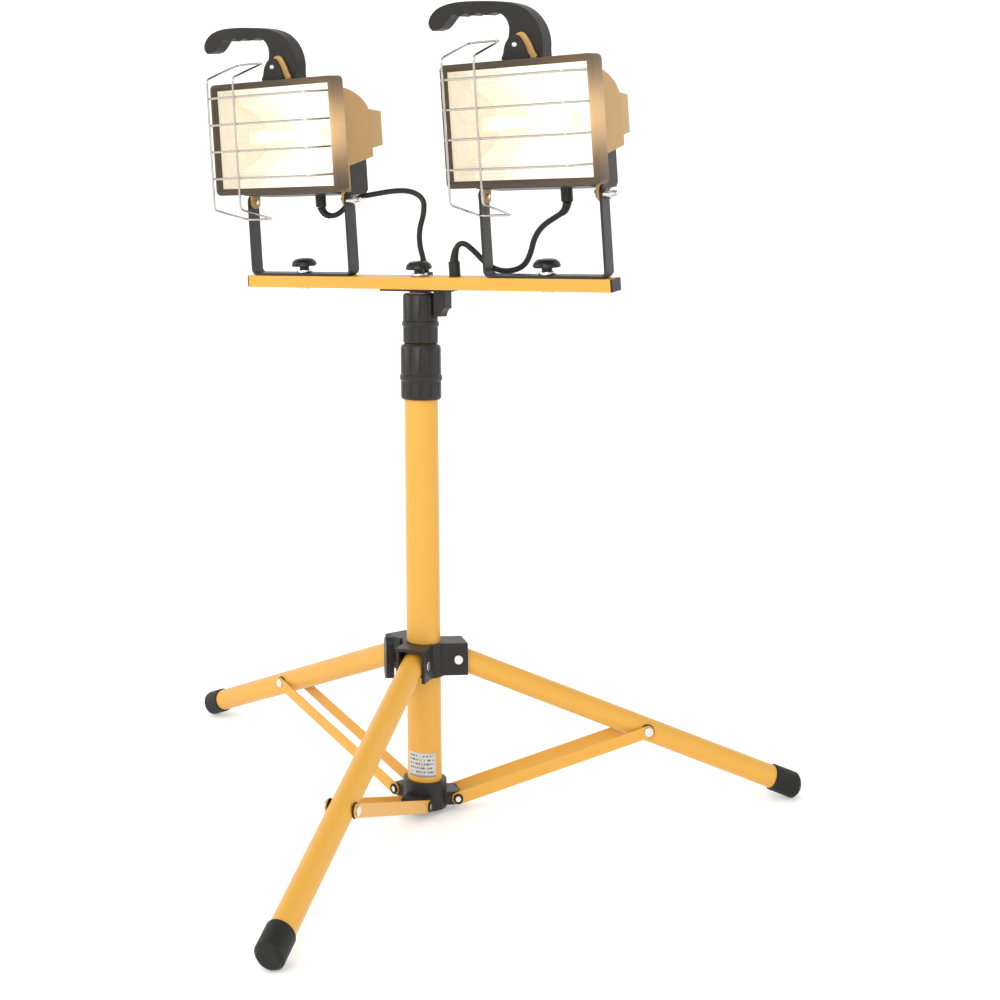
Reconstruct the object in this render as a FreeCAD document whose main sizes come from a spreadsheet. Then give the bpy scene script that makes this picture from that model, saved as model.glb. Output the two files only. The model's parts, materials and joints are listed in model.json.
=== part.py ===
import FreeCAD, Part
import Sketcher
import math
import os
import re
from types import SimpleNamespace
from FreeCAD import Placement, Rotation, Vector

# A twin halogen work light on a folding tripod.  Millimetres, +Z up, the floor
# at Z = 0 and the mast's axis on the Z axis.  The crossbar runs along X and
# both lamps face -Y.

SIZES = [
    # name, value, what it is
    ("mast_diameter", 38.0, "outer diameter of the lower mast tube"),
    ("middle_diameter", 34.0, "outer diameter of the middle mast tube"),
    ("inner_diameter", 30.0, "outer diameter of the top mast tube"),
    ("tube_wall", 1.5, "wall of the three mast tubes"),
    ("mast_length", 492.0, "length of the lower mast tube"),
    ("middle_length", 500.0, "length of the middle mast tube"),
    ("inner_length", 475.0, "length of the top mast tube"),
    ("running_gap", 0.1, "clearance of a sleeve on its tube"),
    ("shaft_gap", 0.05, "clearance of a pin or bolt in its hole"),
    ("face_gap", 0.3, "clearance between faces that move past each other"),
    ("lower_lock_length", 62.0, "height of the lower twist lock"),
    ("lower_lock_diameter", 46.0, "diameter of the lower twist lock"),
    ("lower_lock_overlap", 46.0, "how far the lower lock sits over the mast"),
    ("upper_lock_length", 58.0, "height of the upper twist lock"),
    ("upper_lock_diameter", 40.0, "diameter of the upper twist lock"),
    ("upper_lock_overlap", 44.0, "how far the upper lock sits over its tube"),
    ("lock_gap", 0.5, "gap between the two twist locks"),
    ("lock_ring", 1.2, "how far the ring of a lock stands out"),
    ("groove_radius", 1.6, "radius of a grip groove"),
    ("hub_diameter", 48.0, "diameter of the foot hub"),
    ("hub_height", 29.0, "height of the foot hub"),
    ("hub_floor", 3.0, "floor of the foot hub under the mast"),
    ("hub_clearance", 5.0, "height of the hub above the floor"),
    ("hub_lug_radius", 7.0, "radius of a hub lug about its pivot"),
    ("hub_pivot_height", 15.0, "height of the brace pivots"),
    ("label_width", 26.0, "height of the mast label"),
    ("label_bottom", 40.0, "height of the label's lower edge"),
    ("label_thickness", 0.3, "thickness of the mast label"),
    ("front_leg_angle", 12.2, "how far the front leg is turned from -Y"),
    ("leg_diameter", 25.4, "outer diameter of a leg tube"),
    ("leg_wall", 1.2, "wall of a leg tube"),
    ("leg_length", 420.0, "leg from its pivot to the tube's end"),
    ("leg_heel", 6.0, "leg tube inside of its pivot"),
    ("leg_slope", 21.3, "slope of an open leg, degrees"),
    ("leg_pivot_radius", 36.0, "leg pivots from the mast's axis"),
    ("foot_diameter", 29.0, "diameter of a rubber foot"),
    ("foot_overlap", 28.0, "how far a foot covers its leg"),
    ("foot_end", 4.0, "end wall of a rubber foot"),
    ("foot_chamfer", 4.0, "chamfer of a rubber foot"),
    ("collar_diameter", 48.0, "diameter of the sliding collar"),
    ("collar_height", 36.0, "height of the collar's ring"),
    ("collar_flat", 21.7, "mast axis to the flats behind the leg ends"),
    ("arm_reach", 47.0, "how far a collar arm reaches from the mast's axis"),
    ("cheek", 3.6, "thickness of a collar arm's cheek"),
    ("cheek_drop", 17.0, "cheek below the leg pivot"),
    ("roof_rise", 14.6, "underside of an arm's roof above the pivot"),
    ("roof", 3.4, "thickness of an arm's roof"),
    ("pin_radius", 3.0, "radius of the leg pivot pins"),
    ("pin_head_radius", 5.0, "radius of the rivet heads"),
    ("pin_head", 1.6, "thickness of the rivet heads"),
    ("clamp_angle", -48.0, "where the collar's clamp is, from -Y"),
    ("clamp_boss_radius", 8.0, "radius of the clamp boss"),
    ("clamp_boss_reach", 30.0, "end of the clamp boss from the mast's axis"),
    ("clamp_width", 20.0, "width of the clamp shoe"),
    ("collar_bolt_radius", 3.0, "radius of the clamp bolt"),
    ("lever_length", 46.0, "length of the oval clamp knob"),
    ("lever_width", 16.0, "width of the oval clamp knob"),
    ("lever_thickness", 9.0, "thickness of the oval clamp knob"),
    ("brace_joint", 233.0, "leg pivot to the brace joint, along the leg"),
    ("brace_length", 229.0, "brace between its two holes"),
    ("brace_width", 13.0, "width of a brace bar"),
    ("brace_thickness", 2.0, "thickness of a brace bar"),
    ("brace_gap", 28.4, "space between the two bars of a brace"),
    ("rivet_radius", 2.5, "radius of the brace rivets"),
    ("bar_length", 476.0, "crossbar tube"),
    ("bar_depth", 24.0, "crossbar, front to back"),
    ("bar_height", 14.0, "crossbar, height"),
    ("bar_wall", 1.5, "wall of the crossbar"),
    ("bar_cap", 2.0, "flange of a crossbar end cap"),
    ("bar_cap_plug", 12.0, "plug of a crossbar end cap"),
    ("bar_rise", 5.5, "crossbar's underside above the upper lock"),
    ("saddle_length", 95.0, "plate under the crossbar"),
    ("saddle_thickness", 2.0, "thickness of the plate under the crossbar"),
    ("lean_angle", 6.0, "forward lean of the crossbar and lamps, degrees"),
    ("stud_radius", 3.0, "radius of the crossbar bolts"),
    ("knob_diameter", 31.0, "diameter of the round knobs"),
    ("knob_height", 17.0, "height of the round knobs"),
    ("knob_bore_depth", 12.0, "depth of a knob's bore"),
    ("knob_scallop", 4.0, "radius of the cuts around a knob"),
    ("head_spacing", 322.0, "distance between the two lamps"),
    ("pivot_rise", 104.0, "tilt pivots above the crossbar's underside"),
    ("yoke_inside", 140.0, "space between the arms of a yoke"),
    ("yoke_depth", 20.0, "width of the yoke's strap"),
    ("yoke_strap", 3.0, "thickness of the yoke's strap"),
    ("yoke_bend", 8.0, "outer bend radius of the yoke"),
    ("tilt_bolt_radius", 3.0, "radius of the tilt bolts"),
    ("ear_thickness", 3.7, "thickness of a lamp's pivot ear"),
    ("ear_radius", 8.0, "radius of a lamp's pivot ear"),
    ("bezel_width", 180.0, "bezel, left to right"),
    ("bezel_height", 136.0, "bezel, bottom to top"),
    ("bezel_depth", 23.5, "bezel, front to back"),
    ("bezel_rim", 8.0, "width of the bezel's front rim"),
    ("bezel_wall", 2.5, "wall of the bezel"),
    ("bezel_lip", 4.0, "thickness of the bezel's front rim"),
    ("bezel_corner", 6.0, "corner radius of the bezel"),
    ("bezel_rise", 12.0, "bezel's lower edge above the tilt pivot"),
    ("pivot_setback", 50.0, "tilt pivot behind the bezel's front"),
    ("glass_thickness", 4.0, "thickness of the front glass"),
    ("shell_width", 148.0, "width of the lamp housing"),
    ("shell_wall", 2.5, "wall of the lamp housing"),
    ("shell_top_drop", 12.0, "top of the housing below the bezel's top"),
    ("shell_depth", 82.0, "housing behind the bezel"),
    ("rear_box_depth", 36.0, "wiring cover behind the housing"),
    ("rear_box_width", 140.0, "width of the wiring cover"),
    ("rear_box_height", 48.0, "height of the wiring cover"),
    ("terminal_width", 130.0, "width of the black terminal box"),
    ("terminal_drop", 8.0, "how far the terminal box hangs below the bezel's edge"),
    ("gland_radius", 6.5, "radius of the cord gland"),
    ("gland_drop", 20.0, "how far the gland hangs below the bezel's edge"),
    ("reflector_sheet", 1.0, "thickness of the reflector sheet"),
    ("lamp_radius", 5.0, "radius of the halogen tube"),
    ("lamp_length", 92.0, "glass length of the halogen tube"),
    ("holder_length", 12.0, "lamp holder along the tube"),
    ("holder_height", 16.0, "height of a lamp holder"),
    ("guard_wire", 1.3, "radius of the guard wire"),
    ("guard_bend", 6.0, "bend radius of the guard wire"),
    ("guard_reach", 30.0, "guard in front of the bezel"),
    ("guard_pitch", 32.3, "distance between the guard's bars"),
    ("guard_first", 22.0, "lowest guard bar above the bezel's lower edge"),
    ("handle_thickness", 22.0, "thickness of the carrying handle"),
    ("lead_radius", 3.25, "radius of a lamp lead"),
    ("socket_depth", 16.0, "left lead's socket, front to back"),
    ("socket_radius", 6.5, "radius of the right lead's socket"),
    ("socket_height", 17.0, "height of the right lead's socket"),
]
NAMES = {row[0] for row in SIZES}
RIGHT, LEFT = 1, -1
UPRIGHT = Rotation()
ALONG = {
    "x": Rotation(Vector(0, 1, 0), 90),
    "y": Rotation(Vector(1, 0, 0), -90),
    "z": UPRIGHT,
}

doc = FreeCAD.newDocument("WorkLight")
sheet = doc.addObject("Spreadsheet::Sheet", "sizes")
for row, (name, value, meaning) in enumerate(SIZES, 1):
    sheet.set(f"A{row}", meaning)
    sheet.set(f"B{row}", str(value))
    sheet.setAlias(f"B{row}", name)
doc.recompute()
S = SimpleNamespace(**{name: float(sheet.get(name)) for name in NAMES})
nodes = []


# ---------------------------------------------------------------- helpers
def bound(text):
    """The expression with each size's name pointing at the sheet."""
    return re.sub(
        r"[a-z_]{4,}", lambda m: "sizes." + m[0] if m[0] in NAMES else m[0], text
    )


def bind(piece, **sizes):
    for prop, text in sizes.items():
        piece.setExpression(prop, bound(text))
    return piece


def block(name, length, width, height, at):
    """A box centred on `at` in X and Y and standing on it in Z."""
    piece = doc.addObject("Part::Box", name)
    bind(piece, Length=length, Width=width, Height=height)
    piece.setExpression("Placement.Base.x", bound(f"{at[0]} - ({length}) / 2"))
    piece.setExpression("Placement.Base.y", bound(f"{at[1]} - ({width}) / 2"))
    piece.Placement.Base.z = at[2]
    return piece


def rod(name, radius, height, at, axis="z"):
    """A cylinder that starts at `at` and runs along +axis."""
    piece = doc.addObject("Part::Cylinder", name)
    bind(piece, Radius=radius, Height=height)
    piece.Placement = Placement(Vector(*at), ALONG[axis])
    return piece


def fuse(name, *shapes):
    piece = doc.addObject("Part::MultiFuse", name)
    piece.Shapes = list(shapes)
    return piece


def wrapped(name, shape):
    """A primitive whose own place is tied to sizes, ready to be moved."""
    piece = doc.addObject("Part::Compound", name)
    piece.Links = [shape]
    return piece


def cut(name, base, *tools):
    piece = doc.addObject("Part::Cut", name)
    piece.Base = base
    piece.Tool = tools[0] if len(tools) == 1 else fuse(name + "_tools", *tools)
    return piece


def group(name, *shapes):
    """Several separate solids that share one node."""
    piece = doc.addObject("Part::Compound", name)
    piece.Links = list(shapes)
    return piece


def moved(piece, frame):
    """The piece with the frame put in front of its own place."""
    piece.Placement = frame * piece.Placement
    return piece


def node(piece, frame=None):
    """Keeps a finished sub-part for the export."""
    if frame is not None:
        moved(piece, frame)
    nodes.append(piece)
    return piece


def made(name, shape, frame=None):
    """A sub-part whose shape is worked out in code from the sheet's sizes."""
    piece = doc.addObject("Part::Feature", name)
    piece.Shape = shape
    if frame is not None:
        piece.Placement = frame
    return piece


def turned(name, profile):
    """A body turned about Z; the profile is a loop of (radius, height)."""
    body = doc.addObject("PartDesign::Body", name)
    plane = next(f for f in body.Origin.OriginFeatures if f.Role == "XZ_Plane")
    sketch = body.newObject("Sketcher::SketchObject", name + "_profile")
    sketch.AttachmentSupport = (plane, [""])
    sketch.MapMode = "FlatFace"
    count = len(profile)
    step = 2 * math.pi / count
    start = [
        Vector(20 + 9 * math.cos(i * step), 20 + 9 * math.sin(i * step), 0)
        for i in range(count)
    ]
    for i in range(count):
        sketch.addGeometry(Part.LineSegment(start[i], start[(i + 1) % count]), False)
    for i in range(count):
        sketch.addConstraint(
            Sketcher.Constraint("Coincident", i, 2, (i + 1) % count, 1)
        )
    for i, point in enumerate(profile):
        for kind, axis, text in zip(("DistanceX", "DistanceY"), (-2, -1), point):
            if text == "0":
                sketch.addConstraint(Sketcher.Constraint("PointOnObject", i, 1, axis))
                continue
            at = sketch.addConstraint(Sketcher.Constraint(kind, -1, 1, i, 1, 10.0))
            sketch.setExpression(f"Constraints[{at}]", bound(text))
    turn = body.newObject("PartDesign::Revolution", name + "_turn")
    turn.Profile = sketch
    turn.ReferenceAxis = (sketch, ["V_Axis"])
    turn.Angle = 360.0
    return body


def rounded(name, base, radius, wanted):
    """The base with the edges that `wanted` picks rounded."""
    doc.recompute()
    piece = doc.addObject("Part::Fillet", name)
    piece.Base = base
    piece.Edges = [
        (i, radius, radius)
        for i, edge in enumerate(base.Shape.Edges, 1)
        if wanted(edge)
    ]
    return piece


def runs_along(edge, axis):
    d = edge.valueAt(edge.LastParameter) - edge.valueAt(edge.FirstParameter)
    return abs(getattr(d, axis)) > 0.999 * d.Length > 0


def bent_path(points, radius_of, closed=False):
    """Straight runs through the points, joined by tangent arcs."""
    points = [Vector(*p) for p in points]
    count = len(points)
    corners = range(count) if closed else range(1, count - 1)
    ends = {}
    for i in corners:
        before, here, after = points[i - 1], points[i], points[(i + 1) % count]
        back, on = before - here, after - here
        turn = math.pi - back.getAngle(on)
        radius = radius_of(min(back.Length, on.Length), turn)
        reach = radius * math.tan(turn / 2)
        back.normalize()
        on.normalize()
        inward = back + on
        inward.normalize()
        middle = here + inward * (radius / math.cos(turn / 2) - radius)
        ends[i] = (here + back * reach, middle, here + on * reach)
    edges = []
    runs = range(count) if closed else range(count - 1)
    for i in runs:
        j = (i + 1) % count
        start = ends[i][2] if i in ends else points[i]
        end = ends[j][0] if j in ends else points[j]
        edges.append(Part.LineSegment(start, end).toShape())
        if j in ends:
            edges.append(Part.Arc(*ends[j]).toShape())
    return Part.Wire(edges)


def tube_along(path, radius):
    """A round solid along a path, with its volume compared."""
    first = path.Edges[0]
    start = first.valueAt(first.FirstParameter)
    facing = first.tangentAt(first.FirstParameter)
    ring = Part.Wire([Part.makeCircle(radius, start, facing)])
    solid = path.makePipeShell([ring], True, False)
    expected = math.pi * radius**2 * path.Length
    if abs(solid.Volume / expected - 1) > 0.01:
        raise ValueError("a tube's volume is wrong")
    return solid


def prism(points, half_width):
    """A solid with the (y, z) outline, from -half_width to half_width in X."""
    wire = Part.makePolygon([Vector(-half_width, y, z) for y, z in points + points[:1]])
    return Part.Face(wire).extrude(Vector(2 * half_width, 0, 0))


def loft(sections):
    """A solid through rectangles (y, half width, low z, high z)."""
    wires = [
        Part.makePolygon(
            [
                Vector(-x, y, low),
                Vector(x, y, low),
                Vector(x, y, high),
                Vector(-x, y, high),
                Vector(-x, y, low),
            ]
        )
        for y, x, low, high in sections
    ]
    return Part.makeLoft(wires, True, True)


# ------------------------------------------------- where the groups stand
def leg_frame(turn):
    """A leg's own frame: X runs outwards from the mast, `turn` from -Y."""
    return Placement(Vector(), Rotation(Vector(0, 0, 1), turn - 90))


SLOPE = math.radians(S.leg_slope)
FOOT_EDGE = S.leg_length + S.foot_end - S.foot_chamfer
# The legs' pivots stand as high as puts the edge of each foot on the floor.
PIVOT_HEIGHT = FOOT_EDGE * math.sin(SLOPE) + S.foot_diameter / 2 * math.cos(SLOPE)
JOINT_X = S.leg_pivot_radius + S.brace_joint * math.cos(SLOPE)
JOINT_Z = PIVOT_HEIGHT - S.brace_joint * math.sin(SLOPE)
BRACE_SLOPE = math.asin((JOINT_Z - S.hub_pivot_height) / S.brace_length)
HUB_PIVOT_X = JOINT_X - S.brace_length * math.cos(BRACE_SLOPE)
MAST_BOTTOM = S.hub_clearance + S.hub_floor
MAST_TOP = MAST_BOTTOM + S.mast_length
LOWER_LOCK_Z = MAST_TOP - S.lower_lock_overlap
UPPER_LOCK_Z = LOWER_LOCK_Z + S.lower_lock_length + S.lock_gap
MIDDLE_TOP = UPPER_LOCK_Z + S.upper_lock_overlap
LOCKS_TOP = UPPER_LOCK_Z + S.upper_lock_length
BAR_Z = LOCKS_TOP + S.bar_rise
INNER_TOP = LOCKS_TOP + 0.5
BAR_FRAME = Placement(Vector(0, 0, BAR_Z), Rotation(Vector(1, 0, 0), S.lean_angle))
LEGS = {
    "front": leg_frame(S.front_leg_angle),
    "right": leg_frame(S.front_leg_angle + 120),
    "left": leg_frame(S.front_leg_angle - 120),
}
LEG_PLACE = Placement(
    Vector(S.leg_pivot_radius, 0, PIVOT_HEIGHT),
    Rotation(Vector(0, 1, 0), S.leg_slope),
)
SIDES = {"left": LEFT, "right": RIGHT}
# A lamp's own frame has its origin on the tilt axis, midway between the arms.
FRONT_Y = -S.pivot_setback
BEZEL_BACK = FRONT_Y + S.bezel_depth
BEZEL_TOP = S.bezel_rise + S.bezel_height


def head_x(side):
    return SIDES[side] * S.head_spacing / 2


def lamp_frame(side):
    shift = Placement(Vector(head_x(side), 0, S.pivot_rise), UPRIGHT)
    return BAR_FRAME * shift


# ---------------------------------------------------------------- the mast
def mast_tubes():
    for label, bottom, text, length in (
        ("mast_tube", MAST_BOTTOM, "mast_diameter", "mast_length"),
        ("middle_tube", MIDDLE_TOP - S.middle_length, "middle_diameter", "middle_length"),
        ("inner_tube", INNER_TOP - S.inner_length, "inner_diameter", "inner_length"),
    ):
        outside = rod(label + "_outside", text + " / 2", length, (0, 0, bottom))
        inside = rod(
            label + "_inside",
            text + " / 2 - tube_wall",
            length + " + 2",
            (0, 0, bottom - 1),
        )
        node(cut(label, outside, inside))


def foot_hub():
    """The hub at the mast's foot, with a lug for each brace."""
    base = S.hub_clearance
    parts = [rod("hub_ring", "hub_diameter / 2", "hub_height", (0, 0, base))]
    for leg, frame in LEGS.items():
        lug = block(
            f"hub_{leg}_lug",
            f"{HUB_PIVOT_X} - 10",
            "brace_gap - 2 * face_gap",
            "2 * hub_lug_radius",
            (HUB_PIVOT_X / 2 + 5, 0, S.hub_pivot_height - S.hub_lug_radius),
        )
        end = rod(
            f"hub_{leg}_end",
            "hub_lug_radius",
            "brace_gap - 2 * face_gap",
            (HUB_PIVOT_X, -S.brace_gap / 2 + S.face_gap, S.hub_pivot_height),
            "y",
        )
        parts.append(moved(fuse(f"hub_{leg}", lug, end), frame))
    bore = rod("hub_bore", "mast_diameter / 2", "hub_height", (0, 0, MAST_BOTTOM))
    node(cut("foot_hub", fuse("hub_solid", *parts), bore))


def mast_label():
    """A thin rating label on the front of the mast, over a third of its turn."""
    low = S.label_bottom
    outside = rod(
        "label_outside",
        "mast_diameter / 2 + label_thickness",
        "label_width",
        (0, 0, low),
    )
    outside.Angle = 100.0
    inside = rod("label_inside", "mast_diameter / 2", "label_width + 2", (0, 0, low - 1))
    node(
        cut("mast_label", outside, inside),
        Placement(Vector(), Rotation(Vector(0, 0, 1), -120)),
    )


def grip_grooves(name, radius, low, height, count):
    """Rods that cut the grip grooves of a twist lock."""
    grooves = []
    for i in range(count):
        turn = 2 * math.pi * i / count
        at = (radius * math.cos(turn), radius * math.sin(turn), low)
        grooves.append(rod(f"{name}_{i}", "groove_radius", height, at))
    return grooves


def twist_lock(label, length, diameter, overlap, outer_tube, inner_tube, bottom, size):
    """A threaded sleeve: wide below, over the outer tube, and narrow above."""
    wide = f"{outer_tube} / 2 + running_gap"
    narrow = f"{inner_tube} / 2 + running_gap"
    grip = diameter + " / 2"
    body = turned(
        label + "_sleeve",
        [
            (wide, "0"),
            (grip + " - 1.6", "0"),
            (grip, "2.5"),
            (grip, length + " * 0.34"),
            (grip + " + lock_ring", length + " * 0.34 + 1.4"),
            (grip + " + lock_ring", length + " * 0.34 + 5.5"),
            (grip, length + " * 0.34 + 6.9"),
            (grip, length + " - 3"),
            (grip + " - 2", length),
            (narrow, length),
            (narrow, overlap),
            (wide, overlap),
        ],
    )
    grooves = grip_grooves(
        label + "_low_groove", size / 2 + 0.7, 3.5, length + " * 0.34 - 4.5", 12
    )
    grooves += grip_grooves(
        label + "_high_groove",
        size / 2 + 0.7,
        getattr(S, length) * 0.34 + 9,
        length + " * 0.66 - 13.5",
        12,
    )
    node(cut(label, body, *grooves), Placement(Vector(0, 0, bottom), UPRIGHT))


def twist_locks():
    twist_lock(
        "lower_twist_lock",
        "lower_lock_length",
        "lower_lock_diameter",
        "lower_lock_overlap",
        "mast_diameter",
        "middle_diameter",
        LOWER_LOCK_Z,
        S.lower_lock_diameter,
    )
    twist_lock(
        "upper_twist_lock",
        "upper_lock_length",
        "upper_lock_diameter",
        "upper_lock_overlap",
        "middle_diameter",
        "inner_diameter",
        UPPER_LOCK_Z,
        S.upper_lock_diameter,
    )


# ------------------------------------------------------ collar and its clamp
def collar():
    """The sliding casting that carries the legs, and its separate clamp shoe."""
    low = PIVOT_HEIGHT + S.roof_rise + S.roof - S.collar_height
    parts = [rod("collar_ring", "collar_diameter / 2", "collar_height", (0, 0, low))]
    channels = []
    width = S.leg_diameter / 2 + S.face_gap
    for leg, frame in LEGS.items():
        arm = block(
            f"arm_{leg}_block",
            "arm_reach - 15",
            "leg_diameter + 2 * face_gap + 2 * cheek",
            "cheek_drop + roof_rise + roof",
            (S.arm_reach / 2 + 7.5, 0, PIVOT_HEIGHT - S.cheek_drop),
        )
        parts.append(moved(wrapped(f"arm_{leg}", arm), frame))
        channel = block(
            f"channel_{leg}_slot",
            "arm_reach + 10 - collar_flat",
            "leg_diameter + 2 * face_gap",
            "cheek_drop + roof_rise + 20",
            ((S.arm_reach + 10 + S.collar_flat) / 2, 0, PIVOT_HEIGHT - S.cheek_drop - 20),
        )
        hole = rod(
            f"channel_{leg}_hole",
            "pin_radius",
            "leg_diameter + 20",
            (S.leg_pivot_radius, -width - 10, PIVOT_HEIGHT),
            "y",
        )
        channels.append(moved(fuse(f"channel_{leg}", channel, hole), frame))
    bore = rod(
        "collar_bore",
        "mast_diameter / 2 + running_gap",
        "collar_height + 40",
        (0, 0, low - 20),
    )
    clamp_place = leg_frame(S.clamp_angle)
    window = moved(
        wrapped(
            "collar_window",
            block(
                "collar_window_block",
                "collar_diameter",
                "clamp_width",
                "collar_height + 2",
                (S.collar_diameter / 2, 0, low - 1),
            ),
        ),
        clamp_place,
    )
    node(cut("collar_casting", fuse("collar_solid", *parts), bore, window, *channels))
    shoe_ring = rod("shoe_ring", "collar_diameter / 2", "collar_height", (0, 0, low))
    shoe_side = block(
        "shoe_side",
        "collar_diameter",
        "clamp_width - 2 * face_gap",
        "collar_height",
        (S.collar_diameter / 2, 0, low),
    )
    shoe = doc.addObject("Part::Common", "shoe_segment")
    shoe.Base = shoe_ring
    shoe.Tool = shoe_side
    height = low + S.collar_height / 2
    boss = rod(
        "shoe_boss",
        "clamp_boss_radius",
        "clamp_boss_reach - 20",
        (20, 0, height),
        "x",
    )
    shoe_bore = rod(
        "shoe_bore",
        "mast_diameter / 2 + running_gap",
        "collar_height + 40",
        (0, 0, low - 20),
    )
    bolt_hole = rod(
        "shoe_bolt_hole",
        "collar_bolt_radius + shaft_gap",
        "clamp_boss_reach + 10",
        (S.mast_diameter / 2, 0, height),
        "x",
    )
    node(
        cut("collar_clamp", fuse("shoe_solid", shoe, boss), shoe_bore, bolt_hole),
        clamp_place,
    )
    # The clamp's bolt and oval knob turn together.
    start = S.mast_diameter / 2 + 1.5
    bolt = rod(
        "collar_bolt_shank",
        "collar_bolt_radius",
        f"clamp_boss_reach + 10 - {start}",
        (start, 0, height),
        "x",
    )
    node(wrapped("collar_bolt", bolt), clamp_place)
    lever_x = S.clamp_boss_reach + 5
    parts = [
        rod("lever_neck", "lever_width / 2 - 1", "6", (lever_x - 3, 0, height), "x"),
        block(
            "lever_middle",
            "lever_thickness",
            "lever_width",
            "lever_length - lever_width",
            (
                lever_x + S.lever_thickness / 2,
                0,
                height - (S.lever_length - S.lever_width) / 2,
            ),
        ),
    ]
    for end, sign in (("top", 1), ("bottom", -1)):
        at = height + sign * (S.lever_length - S.lever_width) / 2
        parts.append(
            rod(f"lever_{end}", "lever_width / 2", "lever_thickness", (lever_x, 0, at), "x")
        )
    bore = rod(
        "lever_bore",
        "collar_bolt_radius",
        f"clamp_boss_reach + 10 - {start}",
        (start, 0, height),
        "x",
    )
    node(cut("collar_knob", fuse("lever_solid", *parts), bore), clamp_place)


def leg_pins():
    """Three riveted pivot pins, one through each arm of the collar."""
    pins = []
    outside = S.leg_diameter / 2 + S.face_gap + S.cheek
    for leg, frame in LEGS.items():
        shank = rod(
            f"pin_{leg}_shank",
            "pin_radius",
            "leg_diameter + 2 * face_gap + 2 * cheek",
            (S.leg_pivot_radius, -outside, PIVOT_HEIGHT),
            "y",
        )
        heads = [
            rod(
                f"pin_{leg}_head_{i}",
                "pin_head_radius",
                "pin_head",
                (S.leg_pivot_radius, y, PIVOT_HEIGHT),
                "y",
            )
            for i, y in enumerate((-outside - S.pin_head, outside))
        ]
        pins.append(moved(fuse(f"pin_{leg}", shank, *heads), frame))
    node(group("leg_pivot_pins", *pins))


# ---------------------------------------------------------- legs and braces
def legs():
    for leg, frame in LEGS.items():
        place = frame * LEG_PLACE
        outside = rod(
            f"leg_{leg}_outside",
            "leg_diameter / 2",
            "leg_length + leg_heel",
            (-S.leg_heel, 0, 0),
            "x",
        )
        inside = rod(
            f"leg_{leg}_inside",
            "leg_diameter / 2 - leg_wall",
            "leg_length + leg_heel + 2",
            (-S.leg_heel - 1, 0, 0),
            "x",
        )
        pin_hole = rod(
            f"leg_{leg}_pin_hole",
            "pin_radius + shaft_gap",
            "2 * leg_diameter",
            (0, -S.leg_diameter, 0),
            "y",
        )
        rivet_hole = rod(
            f"leg_{leg}_rivet_hole",
            "rivet_radius + shaft_gap",
            "2 * leg_diameter",
            (S.brace_joint, -S.leg_diameter, 0),
            "y",
        )
        node(cut(f"leg_{leg}", outside, inside, pin_hole, rivet_hole), place)
        foot = turned(
            f"foot_{leg}",
            [
                ("leg_diameter / 2", "0"),
                ("foot_diameter / 2 - 0.8", "0"),
                ("foot_diameter / 2", "1"),
                ("foot_diameter / 2", "foot_overlap + foot_end - foot_chamfer"),
                ("foot_diameter / 2 - foot_chamfer", "foot_overlap + foot_end"),
                ("0", "foot_overlap + foot_end"),
                ("0", "foot_overlap"),
                ("leg_diameter / 2", "foot_overlap"),
            ],
        )
        end = Placement(Vector(S.leg_length - S.foot_overlap, 0, 0), ALONG["x"])
        node(foot, place * end)


def braces():
    """Each brace is two flat bars beside the leg, with the rivets they turn on."""
    turn = Rotation(Vector(0, 1, 0), 180 - math.degrees(BRACE_SLOPE))
    for leg, frame in LEGS.items():
        place = frame * Placement(Vector(JOINT_X, 0, JOINT_Z), turn)
        bars = []
        studs = []
        for side, sign in SIDES.items():
            middle = sign * (S.brace_gap + S.brace_thickness) / 2
            low = middle - S.brace_thickness / 2
            name = f"brace_{leg}_{side}"
            flat = block(
                name + "_flat",
                "brace_length",
                "brace_thickness",
                "brace_width",
                (S.brace_length / 2, middle, -S.brace_width / 2),
            )
            ends = [
                rod(f"{name}_end_{i}", "brace_width / 2", "brace_thickness", (x, low, 0), "y")
                for i, x in enumerate((0, S.brace_length))
            ]
            holes = [
                rod(f"{name}_hole_{i}", "rivet_radius", "10", (x, low - 5, 0), "y")
                for i, x in enumerate((0, S.brace_length))
            ]
            bars.append(cut(name, fuse(name + "_solid", flat, *ends), *holes))
            # A short screw at the hub end stops just short of the hub's lug.
            outer = middle + sign * S.brace_thickness / 2
            head_y = outer if sign > 0 else outer - S.pin_head
            shank = rod(
                f"{name}_shank",
                "rivet_radius",
                "brace_thickness",
                (S.brace_length, low, 0),
                "y",
            )
            head = rod(
                f"{name}_head",
                "pin_head_radius",
                "pin_head",
                (S.brace_length, head_y, 0),
                "y",
            )
            studs.append(fuse(f"{name}_screw", shank, head))
        outside = S.brace_gap / 2 + S.brace_thickness
        shank = rod(
            f"joint_{leg}_shank",
            "rivet_radius",
            "brace_gap + 2 * brace_thickness",
            (0, -outside, 0),
            "y",
        )
        heads = [
            rod(f"joint_{leg}_head_{i}", "pin_head_radius", "pin_head", (0, y, 0), "y")
            for i, y in enumerate((-outside - S.pin_head, outside))
        ]
        studs.append(fuse(f"joint_{leg}_rivet", shank, *heads))
        node(group(f"brace_bars_{leg}", *bars), place)
        node(group(f"brace_rivets_{leg}", *studs), place)


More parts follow.
